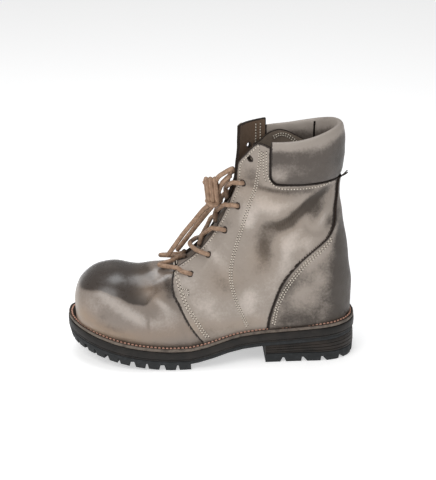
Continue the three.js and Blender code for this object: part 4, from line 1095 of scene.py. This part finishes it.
def patches(x, z, rows):
    total = np.zeros(len(x))
    for px, pz, long, high, slope, strength in rows:
        c, s_ = math.cos(math.radians(slope)), math.sin(math.radians(slope))
        u, v = (x - px) * c + (z - pz) * s_, -(x - px) * s_ + (z - pz) * c
        total += strength * np.exp(-((u / long) ** 2 + (v / high) ** 2))
    return total


def smoothstep(v, low, high):
    u = np.clip((v - low) / (high - low), 0, 1)
    return u * u * (3 - 2 * u)


def leather_values(p):
    x, z = p[:, 0], p[:, 2]
    low = np.exp(-np.clip(z - feather(x), 0, None) / 5.0)
    border_z = np.interp(x, *zip(*TOE_WAX)) + 0.4 * np.sin(x * 0.31)
    wax = smoothstep(z, border_z - 1.5, border_z + 2.5) * smoothstep(x, -46, -72) * smoothstep(x, -152, -128)
    wax *= 1 - 0.45 * smoothstep(z, 92, 104)
    return {"tone": patches(x, z, TONE_AND_SHADE_PATCHES) - 0.35 * low - 0.95 * wax,
            "warm": np.clip(patches(x, z, WARM_PATCHES), 0, 0.9),
            "gloss": np.clip(patches(x, z, GLOSS_PATCHES), 0, 1)}


print("patches:", len(TONE_AND_SHADE_PATCHES) + len(WARM_PATCHES) + len(GLOSS_PATCHES))

# %% [markdown]
# ## The vamp and the lining shell
# The first layer runs all over the last: its front is the glossy toe, and behind the seam it is
# the lining side that shows inside the collar. It stops under the midsole's top, round the
# throat, along the facing tops and under the padded collar, and the lace holes go through it.

# %% Upper
def cut_shell(p, f):
    p, f = trim(p, f, below_facing_top(p))
    p, f = trim(p, f, flat_pad_window(p, GAP))
    return trim(p, f, outside_holes(p))


def standing(p, level):
    return p[:, 2] - level(p[:, 0])


def leather_piece(name, p, f, outer, inner, materials, replaced, hidden, marks):
    """A cut sheet as leather; hidden says which cuts get no dyed band, marks adds the piece's own colours and
    painted seam shadows.
    """
    fold = relief(p[:, 0], p[:, 2], side_of(p))
    edge = to_border(p, f, hidden)
    points, polygons, slots = thicken(p, f, outer + fold, inner + fold)
    values = leather_values(p)
    values["edge"] = np.minimum(edge, 99)
    marks(p, values)
    values = {key: np.concatenate([column, column]) for key, column in values.items()}
    piece = make_mesh(name, points, polygons, materials, slots, values)
    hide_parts(replaced)
    print(name, len(points), "points")
    return piece


p, f = trim(sheet_points, sheet_faces, standing(sheet_points, lambda x: midsole_top(x) + GAP))
p, f = trim(p, f, beside_throat(p, SHAFT_FOOT + 1, True))
p, f = cut_shell(p, f)


def vamp_marks(p, values):
    """The lining is brown beside the throat, and the vamp gets a painted shadow where the quarter's edge lies
    on it.
    """
    beside = (p[:, 0] > 0) & (p[:, 0] < 60)
    values["warm"] = np.where(beside, np.clip(values["warm"] + 0.8, 0, 1), values["warm"])
    values["edge"] = np.minimum(values["edge"], np.abs(behind_vamp_seam(p)) * 0.9)


def counter_marks(_, values):
    """The counter is greyer and darker than the quarters."""
    values["tone"] -= 0.45
    values["warm"] *= 0.5


def quarter_marks(p, values):
    """The quarter gets a painted shadow where the counter's edge lies on it."""
    values["edge"] = np.minimum(values["edge"], np.abs(behind_counter_edge(p)) * 0.8)


upper = leather_piece("vamp_and_lining", p, f, 0.0, -WALL, [vamp_leather, raw_edge, lining_leather], "upper",
                      lambda q: (q[:, 2] < feather(q[:, 0]) + 1) | (np.abs(q[:, 1]) < 16), vamp_marks)

# %% [markdown]
# ## Quarters
# Two quarters lap over the vamp and meet at the back. Their front edge is cut raw, and they are
# thick enough to throw a small shade on the vamp.

# %% Quarters
p, f = trim(sheet_points, sheet_faces, standing(sheet_points, lambda x: feather(x) + GAP))
p, f = trim(p, f, behind_vamp_seam(p))
p, f = trim(p, f, beside_throat(p, FOOT_LEVEL + INSTEP_HEIGHT / 4, False))
p, f = cut_shell(p, f)
for side, label in ((-1, "quarter_outer"), (1, "quarter_inner")):
    half_p, half_f = trim(p, f, side * p[:, 1] - GAP / 2)
    piece = leather_piece(label + "_leather", half_p, half_f, GAP + OVERLAY, GAP,
                          [quarter_leather, raw_edge, lining_leather], label,
                          lambda q: (np.abs(q[:, 1]) < 1) | (q[:, 2] < feather(q[:, 0]) + 2), quarter_marks)

# %% [markdown]
# ## Counter
# The counter cups the heel over both quarters, and its front edge sweeps up to the back of the
# collar.

# %% Counter
p, f = trim(sheet_points, sheet_faces, standing(sheet_points, lambda x: feather(x) + GAP))
p, f = trim(p, f, behind_counter_edge(p))
p, f = trim(p, f, PAD_SEAM - 2 * GAP - p[:, 2])
counter = leather_piece("counter_leather", p, f, 2 * GAP + 2 * OVERLAY, 2 * GAP + OVERLAY,
                        [quarter_leather, raw_edge, lining_leather], "counter",
                        lambda q: q[:, 2] < feather(q[:, 0]) + 2, counter_marks)

# %% [markdown]
# ## Padded collar
# Foam in a leather sleeve: a pillow section carried round the top line. Its lower front corner is
# rounded, it is fullest at mid height, and the sleeve has small pulls and dents that a hand-held
# pad gets. It is drawn directly, ring by ring, and the dents are vertex moves.

# %% Collar pad
def pad_ring(side, c):
    puff = 0.55 + 0.45 * min(1, c * 6)
    edge = PAD_FRONT + GAP
    ease = math.sin(c * math.pi / 2)
    guess = edge + (float(back_at(PAD_SEAM + 20)) - edge) * ease
    dx = max(guess - PAD_FRONT, 0)
    lift = 9 - math.sqrt(81 - (9 - dx) ** 2) if dx < 9 else 0
    low, high = PAD_SEAM + lift, float(rim_at(guess))
    angles = np.radians(np.array([-86, -78, -68, -56, -44, -32, -20, -8, 8, 20, 32, 44, 56, 68, 78, 86]))
    z = (low + high) / 2 + (high - low) / 2 * np.sin(angles)
    x = edge + (back_at(z) - edge) * ease
    full = np.cos(angles) ** 0.6 * puff
    pull = 0.35 * np.sin(x * 0.33 + z * 0.21 * side) * np.sin(z * 0.17 - 2 * c)
    pull += 0.5 * np.sin(c * 9 + side) ** 3
    out = on_upper(side, x, z, -WALL / 2 + PAD_OUT * full + pull * full, False)
    back = on_upper(side, x, z, -WALL / 2 - PAD_IN * full + 0.5 * pull * full, False)
    return np.concatenate([out, back[::-1]])


PAD_COLUMNS = 64
rings = [pad_ring(-1, i / PAD_COLUMNS) for i in range(PAD_COLUMNS + 1)]
rings += [pad_ring(1, i / PAD_COLUMNS) for i in range(PAD_COLUMNS - 1, -1, -1)]


def skin(rings, closed=False):
    count = len(rings[0])
    total = len(rings)
    i, j = np.meshgrid(np.arange(total if closed else total - 1), np.arange(count), indexing="ij")
    a, b = i * count + j, i * count + (j + 1) % count
    c, d = (i + 1) % total * count + (j + 1) % count, (i + 1) % total * count + j
    faces = np.stack([a, b, c, d], axis=-1).reshape(-1, 4)
    if not closed:
        j = np.arange(count // 2 - 1)
        m = count - 1 - j
        top = (total - 1) * count
        first, final = np.stack([j + 1, j, m, m - 1], 1), np.stack([j, j + 1, m - 1, m], 1) + top
        faces = np.concatenate([faces, first, final])
    return np.concatenate(rings), faces


def merge(points, polygons):
    """Close faces whose corners coincide into smaller ones."""
    keys = np.round(points * 400).astype(np.int64)
    _, first, where = np.unique(keys, axis=0, return_index=True, return_inverse=True)
    same = first[where.ravel()]
    result = []
    for polygon in polygons:
        corners = []
        for corner in same[np.asarray(polygon)]:
            if corner not in corners:
                corners.append(int(corner))
        if len(corners) > 2:
            result.append(corners)
    return result


points, faces = skin(rings)
faces = [face[::-1] for face in merge(points, faces)]
values = leather_values(points)
high = (points[:, 2] - PAD_SEAM) / (rim_at(points[:, 0]) - PAD_SEAM)
# A painted highlight along the pad's upper roll and painted shade along its lower seam; the last pad patch is
# painted shade on the back, where the pad turns from the lamps.
values["tone"] = 1.0 * np.exp(-((high - 0.93) / 0.13) ** 2) - 0.3 * np.exp(-(high / 0.12) ** 2)
PAD_PATCHES = [(108, 232, 18, 6, 16, 0.35), (66, 205, 12, 10, 60, 0.5), (86, 212, 22, 8, 5, 0.2),
               (132, 220, 26, 14, 90, -0.5)]
values["tone"] += patches(points[:, 0], points[:, 2], PAD_PATCHES)
# The dark band along the pad's front and lower border is painted shadow of the quarters' edge over it.
values["edge"] = np.clip(-flat_pad_window(points, 0.0), 0, 99)
collar_pad = make_mesh("collar_pad_leather", points, faces, [pad_leather], None, values, 60)
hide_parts("collar_pad")
print("collar pad:", len(points), "points")

# %% [markdown]
# ### The collar's seams
# Inside the collar the two halves of the lining meet in an open slit, drawn as a dark cord sunk into the pad:
# painted shade standing for the opening. Outside, at the back, a few fibres stick out where the pad's lower
# seam ends.

# %% Slit and fibres
SLIT_X, SLIT_LOW, SLIT_HIGH, SLIT_RADIUS, SLIT_SUNK = 110.0, 223.0, 243.0, 1.3, 0.5
PAD_MIDDLE, PAD_HALF = 219.5, 26.0
slit_z = np.linspace(SLIT_LOW, SLIT_HIGH, 12)
slit_full = np.sqrt(np.clip(1 - ((slit_z - PAD_MIDDLE) / PAD_HALF) ** 2, 0, 1)) ** 0.6
slit = on_upper(1, np.full(12, SLIT_X), slit_z, -WALL / 2 - PAD_IN * slit_full + SLIT_SUNK, False)
verts, faces, data = tube(fair(slit, 1.2), SLIT_RADIUS, 10)
make_mesh("collar_lining_slit_shade", verts, faces, [pinhole_shade], None, data, 60)
FIBRES = [[(130, -8, 192.4), (135, -7, 195.4), (139.4, -6, 199.6)],
          [(130, -8, 192.6), (136, -6, 194.6), (140, -5, 197)],
          [(130.4, -8.6, 192), (134, -8.6, 195), (136.6, -8.8, 198)]]
FIBRE_RADIUS = 0.7
verts, faces, data = join([tube(fair(line, 0.8), FIBRE_RADIUS, 6) for line in FIBRES])
make_mesh("frayed_back_seam", verts, faces, [raw_edge], None, data, 60)
print("collar seams ready")

# %% [markdown]
# ## Tongue
# The tongue lies under both facings, and at the top its middle leans back to the leg.

# %% Tongue
TONGUE_LEAN, TUCK_RUN, TONGUE_THICKNESS = 15.0, 34.0, 2.2
p = sheet_points.copy()
up = smoothstep(p[:, 2], SHAFT_FOOT + 0.3 * SHAFT_RISE, SHAFT_FOOT + 0.85 * SHAFT_RISE)
middle = np.clip(1 - (p[:, 1] / (SHAFT_WIDTH * 0.42)) ** 2, 0, None)
tuck = (PAD_IN - WALL / 2 + 2 * GAP) * smoothstep(p[:, 2], PAD_SEAM - TUCK_RUN, PAD_SEAM)
lean = TONGUE_LEAN * up * middle ** 2
p[:, :3] += p[:, 3:6] * (-WALL - 2 * GAP - tuck)[:, None]
p[:, 0] += lean
WRAP = 2.3
p, f = trim(p, sheet_faces, (WRAP - np.abs(p[:, 6] - math.pi)) * 30)
p, f = trim(p, f, inside_line(p, TONGUE_EDGE))
edge = to_border(p, f)
wave = 0.4 * np.sin(p[:, 2] * 0.13 + 1) * np.sin(p[:, 1] * 0.2)
points, polygons, slots = thicken(p, f, wave, wave - TONGUE_THICKNESS)
values = leather_values(p)
# The darkening is painted shade of the throat the tongue lies in.
values["tone"] = values["tone"] * 0.5 - 0.2
values["edge"] = np.minimum(edge, 99)
values = {key: np.concatenate([column, column]) for key, column in values.items()}
tongue = make_mesh("tongue_leather", points, polygons, [tongue_leather, raw_edge, lining_leather], slots,
                   values)
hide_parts("tongue")
print("tongue:", len(points), "points")

# %% [markdown]
# ## Midsole, stack and welt
# The sole's layers are closed rings of the outline, drawn in by a small margin at each height, so
# a groove or a rounded edge is one more ring. The heel stack shows its lifts as fine grooves.

# %% Sole layers
def stations(start, end, count=110):
    turn = np.linspace(0, math.pi, count + 1)
    even = np.linspace(0, 1, count + 1)
    xs = (even * 0.25 + (1 - np.cos(turn)) / 2 * 0.75) * SOLE_LENGTH + TOE_X
    inside = xs[(xs > start + 0.6) & (xs < end - 0.6)]
    return np.concatenate([[start], inside, [end]])


def ring(xs, margin, level):
    u = xs * (1 - 2 * margin / SOLE_LENGTH)
    outer = np.stack([u, sway(u) - half_breadth(-1, u, margin), level(u)], axis=1)
    inner = np.stack([u, sway(u) + half_breadth(1, u, margin), level(u)], axis=1)
    return np.concatenate([outer, inner[::-1]])


def layer(name, node, start, end, bottom, top, rows, materials, closed=False):
    xs = stations(start, end)
    rings = [ring(xs, margin, lambda x, up=up: bottom(x) + (top(x) - bottom(x)) * up) for up, margin in rows]
    points, faces = skin(rings, closed=closed)
    count = len(rings[0])
    ups = np.repeat([up for up, _ in rows], count)
    margins = np.repeat([margin for _, margin in rows], count)
    values = {"up": ups if not closed else margins / WELT_MARGIN, "worn": 0 * ups}
    piece = make_mesh(name, points, merge(points, faces), materials, None, values)
    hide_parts(node)
    print(name, len(points), "points")


MIDSOLE_EDGE = [(0, 0.9), (0.05, 0.4), (0.15, 0.3), (0.18, 0.8), (0.21, 0.35), (0.4, 0.15), (0.7, 0.2),
                (0.9, 0.35), (0.97, 0.7), (1, 1.2)]
layer("midsole_leather", "midsole", TOE_X, HEEL_X, midsole_bottom, midsole_top, MIDSOLE_EDGE, [sole_leather])
STACK_EDGE = [(0, 1.0), (0.04, 0.6), (0.14, 0.5), (0.17, 1.05), (0.2, 0.55), (0.42, 0.6), (0.45, 1.15),
              (0.48, 0.65), (0.70, 0.75), (0.73, 1.3), (0.76, 0.85), (0.95, 1.1), (1, 1.5)]
layer("heel_stack_leather", "heel_stack", HEEL_BREAST_X, HEEL_X, lambda x: 0 * x + LIFT_HEIGHT + GAP,
      lambda x: waist_bottom(x) - GAP, STACK_EDGE, [stack_leather])
WELT_EDGE = [(0, 9.4), (0, 1.3), (0.2, 0.9), (0.75, 0.8), (0.98, 1.1), (1.06, 1.7), (1.02, 2.4), (0.95, 3.0),
             (0.93, 4.4), (0.95, 5.6), (0.9, 7.0), (0.75, 8.2), (0.7, 9.4)]
layer("welt_leather", "welt", TOE_X, HEEL_X, welt_bottom, feather, WELT_EDGE, [welt_leather], closed=True)
for node, material in (("outsole", rubber), ("heel_lift", rubber), ("insole", insole_leather)):
    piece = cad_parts[node]
    piece.data.materials.clear()
    piece.data.materials.append(material)
print("sole dressed")

# %% [markdown]
# ## Stitches
# A stitch is a short bow of thread that dives into the leather at both ends, between two dark discs of
# painted shade that stand for the pinholes. Hundreds of them are made as one mesh: the same small bow is set
# along each row.

# %% Stitch maker
def stitch_mesh(rows, radius, fill, hole):
    """rows holds (points, normals) pairs; each gap between two points is one stitch."""
    parts_p, parts_f, slots, start = [], [], [], 0
    along_bow = np.array([-0.5, -0.36, 0.0, 0.36, 0.5])
    size = np.array([0.45, 0.9, 1.0, 0.9, 0.45])
    lift = np.array([-0.9, 0.0, 0.35, 0.0, -0.9])
    turn = 2 * math.pi * np.arange(6) / 6
    for points, normals in rows:
        a, b = points[:-1], points[1:]
        n = (normals[:-1] + normals[1:]) / 2
        n /= np.linalg.norm(n, axis=1)[:, None]
        way = b - a
        span = np.linalg.norm(way, axis=1)
        way /= span[:, None]
        n = n - way * (n * way).sum(axis=1)[:, None]
        across = np.cross(way, n)
        middle = (a + b) / 2
        count = len(a)
        bow = (middle[:, None] + way[:, None] * (along_bow * fill)[None, :, None] * span[:, None, None]
               + n[:, None] * (lift * radius)[None, :, None])
        circle = (across[:, None, None] * np.cos(turn)[None, None, :, None]
                  + n[:, None, None] * np.sin(turn)[None, None, :, None])
        circle = circle * (size * radius)[None, :, None, None]
        verts = (bow[:, :, None] + circle).reshape(-1, 3)
        s_, i, j = np.meshgrid(np.arange(count), np.arange(4), np.arange(6), indexing="ij")
        one = start + s_ * 30 + i * 6 + j
        two = start + s_ * 30 + i * 6 + (j + 1) % 6
        parts_f += np.stack([one, two, two + 6, one + 6], axis=-1).reshape(-1, 4).tolist()
        slots += [0] * (count * 24)
        parts_p.append(verts)
        start += len(verts)
        # Each stitch hole is a flat dark disc just over the leather: painted shade of the hole.
        across_p = np.cross(np.gradient(points, axis=0), normals)
        across_p /= np.linalg.norm(across_p, axis=1)[:, None]
        along_p = np.cross(normals, across_p)
        disc = (across_p[:, None] * np.cos(turn)[None, :, None]
                + along_p[:, None] * np.sin(turn)[None, :, None])
        discs = points[:, None] + normals[:, None] * 0.07 + hole * disc
        parts_p.append(discs.reshape(-1, 3))
        parts_f += [[start + d * 6 + j for j in range(6)] for d in range(len(points))]
        slots += [1] * len(points)
        start += len(points) * 6
    return np.concatenate(parts_p), parts_f, slots


def shifted(line, distance):
    way = np.gradient(line, axis=0)
    way /= np.linalg.norm(way, axis=1)[:, None]
    return line + distance * np.stack([-way[:, 1], way[:, 0]], axis=1)


def leather_row(side, line, offset, shift=0.0, pitch=3.0, phase=0.0):
    line = shifted(fair(line, 1.0), shift)
    line = fair(line[::3], pitch)
    if phase:
        line = line[:-1] + (line[1:] - line[:-1]) * phase
    k, turn = locate(line[:, 0], line[:, 1])
    sides = np.full(len(line), float(side))
    return on_upper(side, line[:, 0], line[:, 1], np.full(len(line), offset)), outward(k, turn, sides)


FAR_ROWS = [[(46.5, 241), (46.5, 222), (46, 204)], [(51.5, 241), (51.5, 222), (51, 204)]]
TONGUE_ROW = [(63, 226.5), (71, 229.6), (79, 228.6), (88, 223.5), (94, 218)]
EYESTAY = [(48.6, 230), (47.3, 213), (44, 190), (39, 175), (30, 146), (22.5, 123), (18.5, 106),
           (18.3, 92), (23, 72), (28.4, 58), (34.2, 44.5), (36, 40)]
PAD_ROW = [(54, 229), (54, 216), (54.8, 206), (59, 196), (66, 191.3), (77, 190), (102, 190.5), (121, 193)]
PAD_BAND = [(51.2, 229), (51.2, 214), (52.0, 203), (55, 195.5)]
VAMP_ROWS = [(-35, 110), (-38, 100), (-35, 86), (-28, 69), (-20, 56), (-12, 42), (-6.5, 34), (-4.5, 31)]
COUNTER_ROWS = [(62, 42), (66.5, 65), (78, 89), (95, 110.5), (111, 124.5), (122, 136)]
TACK = [(-32, 83), (-25, 82), (-25, 77.5), (-32, 78.5), (-32, 83)]


def facing_row(side, top_line):
    """Three millimetres inside the throat's edge, then as far under the facing's top."""
    line = [at_breadth(side, THROAT_GAP / 2 + 3.2, float(z), 0.0)[[0, 2]] for z in range(101, 200, 9)]
    sloping = (top_line[:, 0] > line[-1][0] - 1) & (top_line[:, 0] < 48)
    upper_part = top_line[sloping][::5] + np.array([2.4, -1.4])
    return np.concatenate([line, upper_part[upper_part[:, 1] > line[-1][1] + 4]])


on_quarter, on_counter = GAP + OVERLAY + 0.1, 2 * GAP + 2 * OVERLAY + 0.1
rows = []
for side in (-1, 1):
    for shift, phase in ((-1.1, 0), (1.1, 0.5)):
        rows.append(leather_row(side, EYESTAY, on_quarter, shift, 2.7, phase))
    rows.append(leather_row(side, PAD_ROW, on_quarter, 0, 3.0))
    rows.append(leather_row(side, PAD_BAND, on_quarter, 0, 3.0, 0.5))
    facing_top = OUTER_FACING_TOP if side < 0 else INNER_FACING_TOP
    rows.append(leather_row(side, facing_row(side, facing_top), on_quarter))
    for shift in (-1.3, 1.3):
        rows.append(leather_row(side, VAMP_ROWS, on_quarter, shift, 3.0, 0.25 + 0.19 * shift))
        rows.append(leather_row(side, COUNTER_ROWS, on_counter, shift, 3.0, 0.25 + 0.19 * shift))
    for a, b in zip(TACK[:-1], TACK[1:]):
        rows.append(leather_row(side, [a, ((a[0] + b[0]) / 2, (a[1] + b[1]) / 2), b], on_quarter, 0, 2.2))
for line in FAR_ROWS:
    places, normals = leather_row(1, line, -WALL - 0.1)
    rows.append((places, -normals))
tongue_face = -WALL - 2 * GAP - (PAD_IN - WALL / 2 + 2 * GAP) - TONGUE_THICKNESS - 0.2
for shift in (0, -2.2):
    line = shifted(fair(TONGUE_ROW, 3.0), shift)
    k, turn = locate(line[:, 0], line[:, 1])
    places = on_upper(1, line[:, 0], line[:, 1], tongue_face, False)
    rows.append((places, -outward(k, turn, np.ones(len(line)))))
points, faces, slots = stitch_mesh(rows, 0.66, 0.72, 0.5)
make_mesh("upper_stitches", points, faces, [thread, pinhole_shade], slots, None, 80)
print("stitches:", sum(len(r[0]) - 1 for r in rows))

# %% [markdown]
# ### Welt stitches
# One row of salmon thread runs round the welt, half way between its edge and the upper.

# %% Welt stitches
def welt_row(margin, pitch):
    xs = stations(TOE_X, HEEL_X, 400)
    line = ring(xs, margin, lambda x: feather(x) - 0.1)
    line = line[np.concatenate([[True], np.linalg.norm(np.diff(line, axis=0), axis=1) > 0.05])]
    line = fair(line[::3], pitch)
    return line, np.tile([0.0, 0.0, 1.0], (len(line), 1))


points, faces, slots = stitch_mesh([welt_row(4.0, 4.0)], 0.85, 0.74, 0.7)
make_mesh("welt_stitches", points, faces, [welt_thread, pinhole_shade], slots, None, 80)
print("welt stitches:", len(points) // 36)

# %% [markdown]
# ## Laces
# Each strand comes up through a hole, lies over the facing's edge and dives under the other
# facing. Both strands of a row are one piece, as one lace is.

# %% Crossings
LACE_OVER = 2 * GAP + OVERLAY + LACE / 2 + 0.05
LACE_UNDER = LACE / 2 - WALL + GAP
EDGE_Y = THROAT_GAP / 2


def lace_values(data, dark_start=0.0, dark_end=0.0):
    along = data["along"]
    shade_ = dark_start * np.exp(-along / 1.6) + dark_end * np.exp(-(along.max() - along) / 9.0)
    data["shade"] = np.clip(shade_, 0, 1)
    return data


def from_hole(side, row):
    """The lace's way out of a hole and over the facing's edge."""
    y, z = HOLE_BREADTHS[row], SHAFT_FOOT + HOLE_UPS[row] * SHAFT_RISE
    return [at_breadth(side, y + 0.3, z, -0.6), at_breadth(side, y - 0.5, z, 2.9),
            at_breadth(side, y + (EDGE_Y - y) * 0.34, z, LACE_OVER + 0.1)]


def strand(side, row, end, dip=1.6, inset=1.2):
    y, z0 = HOLE_BREADTHS[row], SHAFT_FOOT + HOLE_UPS[row] * SHAFT_RISE
    run = SHAFT_FOOT + end * SHAFT_RISE - z0
    points = from_hole(side, row)
    points += [at_breadth(side, y + (EDGE_Y - y) * 0.68, z0 + run * 0.04, LACE_OVER + 0.3),
               at_breadth(side, EDGE_Y - 1, z0 + run * 0.08, LACE_OVER + 0.4),
               at_breadth(side, EDGE_Y - 6, z0 + run * 0.26, LACE_OVER - dip)]
    middle = at_breadth(side, 0.5, z0 + run * 0.52, LACE_UNDER + 1.2)
    points += [np.array([middle[0], 0, middle[2]]),
               at_breadth(-side, EDGE_Y - LACE / 2 - inset, z0 + run * 0.86, LACE_UNDER + 0.9)]
    verts, faces, data = tube(fair(points, 1.1), LACE / 2 - 0.1)
    return verts, faces, lace_values(data, 1.0, 0.9)


def lace_piece(name, parts, node):
    points, faces, values = join(parts)
    piece = make_mesh(name, points, faces, [lace_cord], None, values, 50)
    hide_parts(node)
    return piece


for row in (1, 2, 3):
    lace_piece("lace_row_%d" % row, [strand(s, row, HOLE_UPS[row + 1]) for s in (-1, 1)],
               "lace_crossing_%d" % row)
lowest = HOLE_UPS[-1]
lace_piece("lace_row_low", [strand(s, len(HOLE_UPS) - 1, lowest + (HOLE_UPS[-2] - lowest) * 0.72, 0.9, 3.6)
                            for s in (-1, 1)], "lace_crossing_low")
bar_z = SHAFT_FOOT + HOLE_UPS[-2] * SHAFT_RISE
bar = []
for side in (-1, 1):
    over = [at_breadth(side, y, bar_z, LACE_OVER + 0.5) for y in (17, EDGE_Y - 1)]
    bar.append(from_hole(side, len(HOLE_UPS) - 2) + over)
crown = at_breadth(1, 0.5, bar_z, LACE_OVER + 0.8)
bar_line = fair(bar[0] + [np.array([crown[0], 0, crown[2]])] + bar[1][::-1], 1.1)
verts, faces, data = tube(bar_line, LACE / 2 - 0.1)
data["shade"] = np.exp(-np.minimum(data["along"], data["along"].max() - data["along"]) / 1.6)
lace_piece("lace_bar_cord", [(verts, faces, data)], "lace_bar")
print("laced rows ready")

# %% [markdown]
# ### The knot and the loose strands
# The knot is three turns of the same lace, pulled tight one beside the other, with a short stub of
# the bow's crushed loop. The strands through it are tubes of their own.

# %% Knot and strands
LEAD_OUTER = [(23.4, -11.3, 205.4), (19, -10.8, 203.8), (13.5, -10, 200.4), (5.9, -8.7, 194)]
LEAD_INNER = [(20.4, -10.8, 197.8), (16, -10.4, 194.6), (12.4, -9.6, 190.8), (10.3, -9.1, 187.8)]
END_OUTER = [(-3.6, -8, 165.6), (-9, -7.5, 159.2), (-18, -7, 147.7), (-28.5, -5, 133.8), (-37.8, -3, 119.8),
             (-46.8, -1, 105.8)]
END_INNER = [(1.2, -6, 163.9), (-5, 0, 153.2), (-14, 3.5, 140.2), (-23.5, 6, 126.6), (-32, 7.5, 114.6),
             (-36.4, 8.3, 108.5)]
KNOT_MIDDLE = np.array([1.0, -8.0, 180.2])


KNOT_TALL, KNOT_DEEP, KNOT_PITCH, KNOT_SLANT, MIDDLE_TURN = 12.8, 4.9, 4.5, 0.17, 1.3


def knot_turns():
    turns = np.linspace(-0.15, 2.75, 88)
    angle = 2 * math.pi * turns
    up = KNOT_TALL * np.sin(angle)
    x = KNOT_MIDDLE[0] + KNOT_PITCH * (turns - MIDDLE_TURN) - KNOT_SLANT * up
    y = KNOT_MIDDLE[1] - KNOT_DEEP * np.cos(angle)
    return fair(np.stack([x, y, KNOT_MIDDLE[2] + up], axis=1), 1.0)


knot_line = knot_turns()
stub = fair([(-1, -9, 187), (-5, -9.5, 189.5), (-9.5, -9, 190.5)], 0.8)
under = fair([(-6, -9, 172), (-2, -13.2, 167.5), (3, -13.4, 166.6), (7, -10, 169)], 0.8)
knot_parts = []
for line in (knot_line, stub, under):
    verts, faces, data = tube(line, LACE / 2)
    knot_parts.append((verts, faces, lace_values(data)))
knot = lace_piece("lace_knot_cord", knot_parts, "lace_knot")


def loose_strand(name, points, nodes):
    """One strand as a tube, with its bare end in the open."""
    line = fair(points, 1.2)
    verts, faces, data = tube(line, LACE / 2)
    piece = make_mesh(name, verts, faces, [lace_cord], None, lace_values(data, 0.6), 50)
    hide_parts(*nodes)
    return piece


loose_strand("lace_strand_outer", LEAD_OUTER + [(1.5, -8, 182)] + END_OUTER,
             ["lace_lead_outer", "lace_end_outer"])
loose_strand("lace_strand_inner", LEAD_INNER + [(6, -6, 176)] + END_INNER,
             ["lace_lead_inner", "lace_end_inner"])

# %% [markdown]
# ## Floor and light
# A large pale floor and a white surround give soft light from all over. One wide lamp from the
# upper left front draws the long highlights on the waxed toe, and a smaller one fills the heel.

# %% Floor and light
floor_mesh = bpy.data.meshes.new("floor")
floor_mesh.from_pydata([(-6, -6, 0), (6, -6, 0), (6, 6, 0), (-6, 6, 0)], [], [(0, 1, 2, 3)])
floor = bpy.data.objects.new("floor", floor_mesh)
floor.location.z = -0.0004
bpy.context.scene.collection.objects.link(floor)
floor_material = surface_of("pale floor", lambda s: (s.mix(s.noise(s.place(), 0.7), colour("#F0F0F0"),
                                                           colour("#EDEDED")), 0.9, None), specular=0.1)
floor_shader = floor_material.node_tree.nodes["Principled BSDF"]
floor_shader.inputs["Emission Color"].default_value = (1.0, 1.0, 1.0, 1.0)
floor_shader.inputs["Emission Strength"].default_value = 0.5
floor_mesh.materials.append(floor_material)
world = bpy.data.worlds.new("studio")
world.use_nodes = True
world.node_tree.nodes["Background"].inputs[0].default_value = (1.0, 1.0, 1.0, 1.0)
world.node_tree.nodes["Background"].inputs[1].default_value = 0.32
bpy.context.scene.world = world
bpy.context.scene.view_settings.view_transform = "Standard"


def lamp(name, place, target, size, power, tint=(1, 1, 1)):
    data = bpy.data.lights.new(name, "AREA")
    data.shape = "RECTANGLE"
    data.size, data.size_y = size
    data.energy = power
    data.color = tint
    light = bpy.data.objects.new(name, data)
    light.location = place
    light.rotation_euler = (Vector(target) - Vector(place)).to_track_quat("-Z", "Y").to_euler()
    bpy.context.scene.collection.objects.link(light)


lamp("key", (-0.9, -1.1, 1.5), (0, 0, 0.08), (1.3, 0.9), 15.0, (1.0, 0.99, 0.98))
lamp("top", (-0.15, 0.25, 1.5), (-0.02, 0, 0.1), (0.9, 0.6), 8.0, (0.96, 0.98, 1.0))
lamp("fill", (1.3, -1.2, 0.8), (0.05, 0, 0.1), (0.9, 0.9), 3.5)
print("stage ready")
